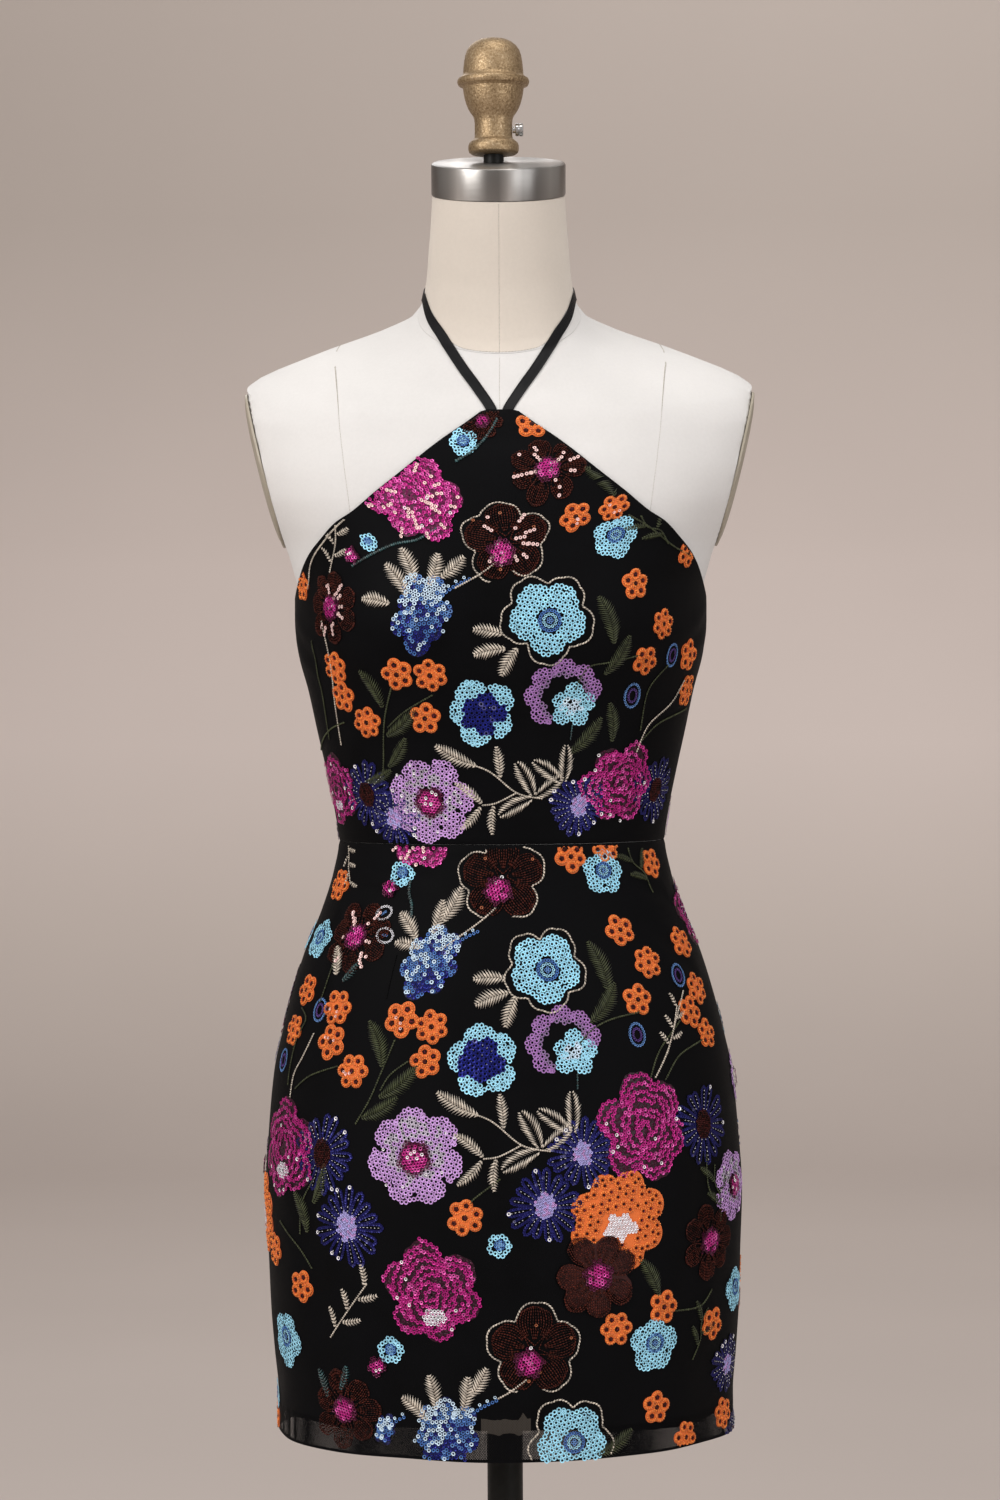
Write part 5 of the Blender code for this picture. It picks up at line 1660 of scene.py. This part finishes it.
def zip_pieces():
    """The zip's tape, and the teeth that close over its middle."""
    tape = plain_cloth_material("zip_tape", (0.006, 0.006, 0.007), 0.6, 1300, 0.06 * MM, 0.05)
    teeth = metal_material("zip_teeth", (0.010, 0.010, 0.011), (0.030, 0.030, 0.032), 0.3, 900,
                           0.01 * MM, 0.0)

    def place(s, t):
        height = BACK_TOP + (ZIP_END + MM - BACK_TOP) * t
        return height, math.pi + (math.pi - back_turn(height, ZIP_HALF)) * (1 - 2 * s)

    made, area = shell("zip_tape", place, 150, 6, CLEAR, CLEAR + 0.7 * MM, "zip_chain", tape,
                       "zip_tape")
    sides, pitch, half_long = 6, 1.5 * MM, 1.15 * MM
    heights = np.arange(ZIP_END + 3 * MM, BACK_TOP - MM, pitch)[:, None, None]
    side = np.array((-1, 1))[None, :, None]
    angle = 2 * np.pi * np.arange(sides) / sides
    reach, swell = np.array([(-0.25, 0.45), (-0.1, 1.0), (0.85, 1.0), (1.05, 0.45)]).T
    swell = swell[:, None] * circle(angle).T[:, None]  # of each tooth's height and thickness
    up = heights + pitch / 2 * (side > 0) + 0.55 * MM * swell[0].reshape(-1)
    out = CLEAR + 1.0 * MM + 0.5 * MM * swell[1].reshape(-1)
    across = np.repeat(reach, sides) * side * half_long
    up, across, out = np.broadcast_arrays(up, across, out)
    turn = math.pi - across / (steady(CLOTH, "half_width", up) * MM)
    corners = len(reach) * sides
    points = cloth.at(up, turn, out - CLOTH_OUT).reshape(-1, corners, 3)
    caps = np.array([np.arange(sides)[::-1], corners - sides + np.arange(sides)])
    first = corners * np.arange(len(points))[:, None, None]
    walls = first + ring_quads(len(reach), sides)
    row = mesh_object("zip_teeth", points.reshape(-1, 3),
                      [walls.reshape(-1, 4), (first + caps).reshape(-1, sides)])
    fix_outward(row)
    register(row, teeth, "zip_tape")


SEAM_ROWS = 6  # rows of the neck's mesh that lie below its seam


def form_pieces():
    """The form's cover: canvas on the torso, jersey on the neck above its seam."""
    canvas = plain_cloth_material("canvas", (0.725, 0.710, 0.700), 0.88, 620, 0.10 * MM, 0.15)
    jersey = plain_cloth_material("jersey", (0.700, 0.630, 0.555), 0.86, 780, 0.08 * MM, 0.2)
    form_shell("torso_cover", TORSO, 210, 220, canvas, "form_torso", "canvas", True)
    around = 160
    cover = form_shell("neck_cover", NECK, 70, around, jersey, "form_neck", "jersey", False)
    cover.data.materials.append(canvas)
    for face in cover.data.polygons[around * 2:around * (2 + SEAM_ROWS)]:  # after both ends' faces
        face.material_index = 1


def form_shell(name, rows, count, around, material, node, slot, seats):
    """A closed cover through the form's rings, with flat seats for the arm plates."""
    low, high = rows[0].height * MM, rows[-1].height * MM
    turns = 2 * np.pi * np.arange(around)[None] / around
    heights = np.linspace(low, high, count)[:, None] + 0 * turns
    if not seats:
        split = neck_seam(turns)
        below = np.linspace(0, 1, SEAM_ROWS + 1)[:-1, None]
        above = np.linspace(0, 1, count - SEAM_ROWS)[:, None]
        heights = np.concatenate((low + (split - low) * below, split + (high - split) * above))
    points = ring_points(rows, heights, turns)
    if seats:
        plane = ARM_PLANE_X + ARM_SLOPE * (points[..., 2] - ARM_PLANE_Z)
        over = (np.abs(points[..., 0]) > plane) & (points[..., 2] > ARM_CUT_LOW)
        points[..., 0] = np.where(over, np.sign(points[..., 0]) * plane, points[..., 0])
    points = np.concatenate((points.reshape(-1, 3), points[:1].mean(1), points[-1:].mean(1)))
    made = mesh_object(name, points, [ring_ends(count, around), ring_quads(count, around)])
    return register(made, material, slot, node, sharp=28)


# ---------------------------------------------------------------- metal and the stand
# Turned outlines: radius and height in millimetres, from the bottom's middle to the top's.
FINIAL = [
    (0, 1552.9), (7.7, 1552.9), (13.5, 1553), (16.5, 1553.3), (18.3, 1554.6), (18.9, 1556.6),
    (18.9, 1559.4), (18.2, 1561.6), (16.4, 1563.2), (14.7, 1564.4), (14.1, 1566.5), (14, 1571),
    (14, 1576), (14.4, 1579.6), (15.4, 1582), (17.2, 1584.4), (18.9, 1587.3), (20.4, 1591),
    (21.5, 1595), (22.3, 1599), (22.7, 1602.4), (23.8, 1603.6), (25.9, 1604.5), (26.8, 1606.2),
    (26.9, 1607.8), (26.2, 1609.4), (24.2, 1610.6), (22.9, 1611.8), (22.5, 1613.2), (22.5, 1614.6),
    (22.2, 1618), (21.8, 1622), (21, 1626.6), (19.7, 1630.6), (17.4, 1633.9), (14, 1636.7),
    (9.8, 1638.6), (5.2, 1639.6), (0, 1639.8),
]
CAP = [
    (0, 0), (49.3, 0), (50.1, 0.3), (50.3, 0.9), (50.3, 21.8), (49.9, 23.1), (48.9, 23.8), (47, 24),
    (20, 24), (0, 24),
]
SCREW = [
    (0, 0), (2.6, 0), (2.6, 1.9), (4.4, 2.1), (4.8, 2.5), (4.8, 4.3), (4.3, 4.7), (4.3, 5), (4.9, 5.3),
    (4.9, 7.1), (4.4, 7.8), (3.2, 8), (2.9, 7.2), (0, 7.2),
]
COLLAR = [
    (0, 673.7), (13.8, 673.7), (13.8, 650.3), (14.2, 650), (18, 650), (19, 651), (19, 670), (20, 672.3),
    (22.5, 673.6), (34.4, 674), (35, 674.6), (35, 679.1), (34.4, 679.7), (0, 679.7),
]
BASE = [
    (0, 0), (195.5, 0), (198.6, 1), (200, 3), (200, 6.8), (198.9, 9.4), (196, 10.9), (180, 11.9),
    (150, 13.5), (100, 15.3), (60, 17.2), (44, 19), (32, 22.6), (26, 28), (22.6, 35), (21.2, 44),
    (21, 52.6), (20.6, 54.3), (19.4, 55), (14.6, 55), (13.8, 54.4), (13.8, 20), (0, 20),
]
POLE = [(0, 20.3), (13.1, 20.3), (13.5, 20.8), (13.5, 672.9), (13.1, 673.4), (0, 673.4)]
ROD = [(0, 1545.6), (7.6, 1545.6), (7.6, 1552.6), (0, 1552.6)]


def lathe(name, outline, around, material, slot, placed, *nodes):
    """A turned piece, with sharp edges where its outline bends hard."""
    rows = np.array(outline, float) * MM
    count = len(rows) - 2
    angles = 2 * np.pi * np.arange(around) / around
    rings = circle(angles) * rows[1:-1, :1, None]
    heights = np.broadcast_to(rows[1:-1, 1:, None], (count, around, 1))
    ends = [(0, 0, rows[0, 1]), (0, 0, rows[-1, 1])]
    points = np.concatenate((np.concatenate((rings, heights), -1).reshape(-1, 3), ends))
    made = mesh_object(name, points, [ring_ends(count, around), ring_quads(count, around)])
    made.data.transform(placed)
    return register(made, material, slot, *nodes, sharp=32)


def hard_pieces():
    """The stand, cap, finial and arm plates, and finishes for the small metal solids."""
    nickel = metal_material("nickel", (0.50, 0.50, 0.50), (0.66, 0.66, 0.67), 0.22, 200, 0.02 * MM)
    paint = metal_material("black_paint", (0.004, 0.004, 0.0035), (0.009, 0.009, 0.008), 0.42, 220,
                           0.05 * MM, 0.0, gloss=0.14)
    bronze = bronze_material()
    lean = Matrix.Translation(CAP_MIDDLE) @ Matrix.Rotation(CAP_LEAN, 4, "X")
    lathe("brushed_cap", CAP, 128, brushed_material(), "brushed_cap", lean, "neck_cap")
    top = lean @ Vector((0, 0, 24 * MM))
    upright = Matrix.Translation((FINIAL_X, top.y, 0))
    finial = lathe("cast_finial", FINIAL, 72, bronze, "bronze", upright, "finial")
    dimple(finial, Vector((FINIAL_X - 14 * MM, top.y - 3.5 * MM, SCREW_HEIGHT)))
    rod = lathe("rod", ROD, 36, paint, "black_paint", upright, "finial_rod")
    for point in rod.data.vertices:
        if point.co.z < ROD[1][1] * MM + MM:  # its foot follows the cap's lean
            point.co.z = top.z + math.tan(CAP_LEAN) * (point.co.y - top.y) + 0.3 * MM
    seat = Matrix.Translation((FINIAL_X + 14.3 * MM, top.y, SCREW_HEIGHT))
    sideways = seat @ Matrix.Rotation(math.pi / 2, 4, "Y")
    lathe("set_screw", SCREW, 36, nickel, "steel", sideways, "finial_screw")
    here = Matrix.Identity(4)
    lathe("steel_pole", POLE, 48, paint, "black_paint", here, "pole")
    lathe("collar", COLLAR, 48, paint, "black_paint", here, "pole_collar")
    lathe("cast_base", BASE, 128, paint, "black_paint", here, "base")
    for node in ("zip_slider", "zip_pull", "neck_hook", "neck_eye"):
        item = frame["nodes"][node]
        item.data.materials.clear()
        item.data.materials.append(nickel)
    arm_plates()


def dimple(item, place):
    """Presses a small dark socket into a piece."""
    reach, depth = 3.4 * MM, 2.4 * MM
    for point in item.data.vertices:
        gap = (point.co - place).length
        if gap < reach:
            point.co.x += depth * (1 - (gap / reach) ** 2)


def arm_plates():
    """A domed oval with a rim on each arm seat."""
    plate = metal_material("plate", (0.30, 0.265, 0.205), (0.37, 0.33, 0.265), 0.42, 90, 0.04 * MM,
                           0.0)
    middle_z, half_tall, half_wide = 1.3195, 58.0 * MM, 45.5 * MM
    lean = math.atan(ARM_SLOPE)
    around = 96
    domes = ((1, 0), (1, 1.4), (0.992, 1.9), (0.97, 2.2), (0.94, 2.3), (0.92, 2.7), (0.88, 3.4),
             (0.78, 4.2), (0.66, 4.8), (0.5, 5.2), (0.3, 5.3), (0.12, 5.3))
    for side, name in ((-1, "left"), (1, "right")):
        up = np.array((side * math.sin(lean), 0, math.cos(lean)))
        out = np.array((side * math.cos(lean), 0, -math.sin(lean)))
        seat = side * (ARM_PLANE_X + ARM_SLOPE * (middle_z - ARM_PLANE_Z))
        centre = np.array((seat, MM, middle_z)) + out * SEAM
        angle = 2 * np.pi * np.arange(around) / around
        oval = np.sin(angle)[:, None] * up * half_tall / math.cos(lean)
        oval += np.cos(angle)[:, None] * (0, half_wide, 0)
        rings = [centre + oval * share + out * rise * MM for share, rise in domes]
        points = np.concatenate((*rings, [centre, centre + out * domes[-1][1] * MM]))
        count = len(domes)
        made = mesh_object(f"arm_plate_{name}_cover", points,
                           [ring_ends(count, around), ring_quads(count, around)])
        fix_outward(made)
        register(made, plate, "arm_plate", f"arm_plate_{name}", sharp=40)


# ---------------------------------------------------------------- the neck ribbons
RIBBON_HALF, RIBBON_THICK, RIBBON_CLEAR = 3.8 * MM, 0.5 * MM, 0.6 * MM
RIBBON_FRONT = [(4.4, 1352.5), (6.9, 1359.8), (16.6, 1375.0), (26.3, 1389.0), (35.5, 1404.0),
                (44.0, 1419.0), (51.5, 1432.0)]  # x and height in millimetres
RIBBON_ROUND = [(80, 1446.5), (95, 1451.5), (112, 1459.5), (130, 1467.0), (148, 1473.5),
                (163, 1477.0), (174, 1478.5)]  # turn in degrees and height in millimetres


def skin_tree():
    """The form's surface for finding where the ribbons lie."""
    points, faces, start = [], [], 0
    for surface in (torso, neck):
        grid = surface.points[:, ::8]
        rows, columns = grid.shape[:2]
        corner = start + np.arange(rows * columns).reshape(rows, columns)
        faces += sheet_quads(corner).tolist()
        points += [Vector(p) for p in grid.reshape(-1, 3)]
        start += rows * columns
    return BVHTree.FromPolygons(points, faces)


def straps():
    """A satin ribbon from inside the halter point to the nape on each side."""
    skin = skin_tree()
    satin = satin_material()
    profile = [(-1.0, 0.0), (-1.0, 0.7), (-0.93, 1.05), (-0.86, 0.85), (-0.5, 1.0), (0, 1.06),
               (0.5, 1.0), (0.86, 0.85), (0.93, 1.05), (1.0, 0.7), (1.0, 0.0), (0, 0.0)]
    for side, name in ((-1, "left"), (1, "right")):
        places = []
        for x, height in RIBBON_FRONT:
            start = Vector((side * x * MM, -0.5, height * MM))
            places.append(skin.ray_cast(start, Vector((0, 1, 0)))[0])
        for turn, height in RIBBON_ROUND:
            inward = Vector((-math.sin(side * math.radians(turn)), math.cos(math.radians(turn)), 0))
            start = Vector((0, -6 * MM, height * MM)) - inward * 0.2
            places.append(skin.ray_cast(start, inward)[0])
        path = [Vector(place) for place in curve(*places, steps=8)]
        points, far, flat = [], 0.0, []
        for i, here in enumerate(path):
            along = (path[min(i + 1, len(path) - 1)] - path[max(i - 1, 0)]).normalized()
            normal = skin.find_nearest(here)[1]
            across = along.cross(normal).normalized()
            outward = across.cross(along).normalized()
            for share, lift in profile:
                edge = here + across * share * RIBBON_HALF
                hit = skin.ray_cast(edge + outward * 8 * MM, -outward, 16 * MM)[0] or edge
                points.append(hit + outward * (RIBBON_CLEAR + RIBBON_THICK * lift))
                flat.append((share * RIBBON_HALF, far))
            if i + 1 < len(path):
                far += (path[i + 1] - here).length
        count = len(profile)
        ends = np.arange(count) + np.array(((0,), (len(points) - count,)))
        made = mesh_object(f"ribbon_{name}", np.array(points), [ring_quads(len(path), count), ends])
        fix_outward(made)
        write_map(made, np.array(flat))
        register(made, satin, "satin_ribbon", f"strap_{name}", sharp=50)
        far = round(far, 3)


def camera_and_light():
    """The camera that sees what to_picture works out, and soft studio lamps."""
    view = bpy.data.cameras.new("camera")
    view.sensor_width = SENSOR
    view.lens = SENSOR * CAMERA_FAR / (PICTURE_HEIGHT * METRES_PER_PIXEL)
    pitch = math.atan((PICTURE_HEIGHT / 2 - EYE_ROW) * METRES_PER_PIXEL / CAMERA_FAR)
    eye = bpy.data.objects.new("camera", view)
    eye.location = (EYE_X, -CAMERA_FAR, EYE_HEIGHT)
    turned = Matrix.Rotation(math.pi / 2 - pitch, 4, "X") @ Matrix.Rotation(-ROLL, 4, "Z")
    eye.rotation_euler = turned.to_euler()
    bpy.context.collection.objects.link(eye)
    bpy.context.scene.camera = eye
    dress, wall = Vector((0, 0, 1.1)), Vector((0, BACKDROP_FAR, 0.9))
    lamps = (  # name, place, aim, size in metres, power in watts and colour
        ("key", (-2.3, -2.3, 2.3), dress, 1.6, 72, (1.0, 0.985, 0.965)),
        ("fill", (2.1, -2.3, 1.5), dress, 1.9, 34, (0.98, 0.99, 1.0)),
        ("top", (0.2, -0.6, 3.4), dress, 1.6, 26, (1.0, 0.99, 0.97)),
        ("back", (-0.9, 3.4, 3.7), dress, 2.0, 24, (1.0, 1.0, 1.0)),
        ("wall", (1.2, 4.2, 4.9), wall, 2.6, 62, (1.0, 0.985, 0.97)),
    )
    for name, place, aim, size, power, colour in lamps:
        lamp = bpy.data.lights.new(name, "AREA")
        lamp.size, lamp.energy, lamp.color = size, power, colour
        item = bpy.data.objects.new(name, lamp)
        item.visible_camera = False
        item.location = place
        item.rotation_euler = (aim - Vector(place)).to_track_quat("-Z", "Y").to_euler()
        bpy.context.collection.objects.link(item)
    world = bpy.data.worlds.new("studio")
    world.use_nodes = True
    sky = world.node_tree.nodes["Background"].inputs
    sky["Color"].default_value = (0.55, 0.51, 0.48, 1)
    sky["Strength"].default_value = 0.78
    bpy.context.scene.world = world
    bpy.context.scene.view_settings.view_transform = "Standard"


def stage():
    """A pale floor that curves up into a warm grey wall behind, with painted light: darker on the floor
    and towards the top, brightest at mid height.
    """
    n = Nodes("paper")
    up = n.maths("MULTIPLY", n.xyz()["Z"], 0.4)
    # Painted light: the paper's tone by height.
    painted_light_tones = [(0.0, (0.55, 0.49, 0.46)), (0.2, (0.66, 0.59, 0.55)), (0.4, (0.78, 0.695, 0.66)),
             (0.6, (0.78, 0.695, 0.66)), (1.0, (0.60, 0.535, 0.495))]
    mixed = n.new("MixRGB", blend_type="MULTIPLY", Fac=1.0)
    n.link(n.ramp(up, painted_light_tones), mixed.inputs["Color1"])
    n.link(n.ramp(n.noise(1.2, 2), [(0.3, 0.97), (0.7, 1.0)]), mixed.inputs["Color2"])
    n.link(mixed.outputs["Color"], n.inputs["Base Color"])
    n.set(Roughness=0.95)
    near, radius, wide, high = -7.0, 1.6, 9.0, 7.0
    flat = BACKDROP_FAR - radius
    bend = [(flat + radius * math.sin(a), radius - radius * math.cos(a))
            for a in np.linspace(0.1, math.pi / 2, 14)]
    profile = [(near, 0.0), (flat, 0.0), *bend, (BACKDROP_FAR, high)]
    points = np.array([(x, y, z) for y, z in profile for x in (-wide, wide)])
    faces = sheet_quads(np.arange(len(points)).reshape(-1, 2))
    sheet = mesh_object("backdrop", points, [faces])
    sheet.data.materials.append(n.material)


camera_and_light()
stage()
form_pieces()
cloth_pieces()
zip_pieces()
hard_pieces()
straps()
form_seams()
embroider()
sewn.objects(dress_materials())
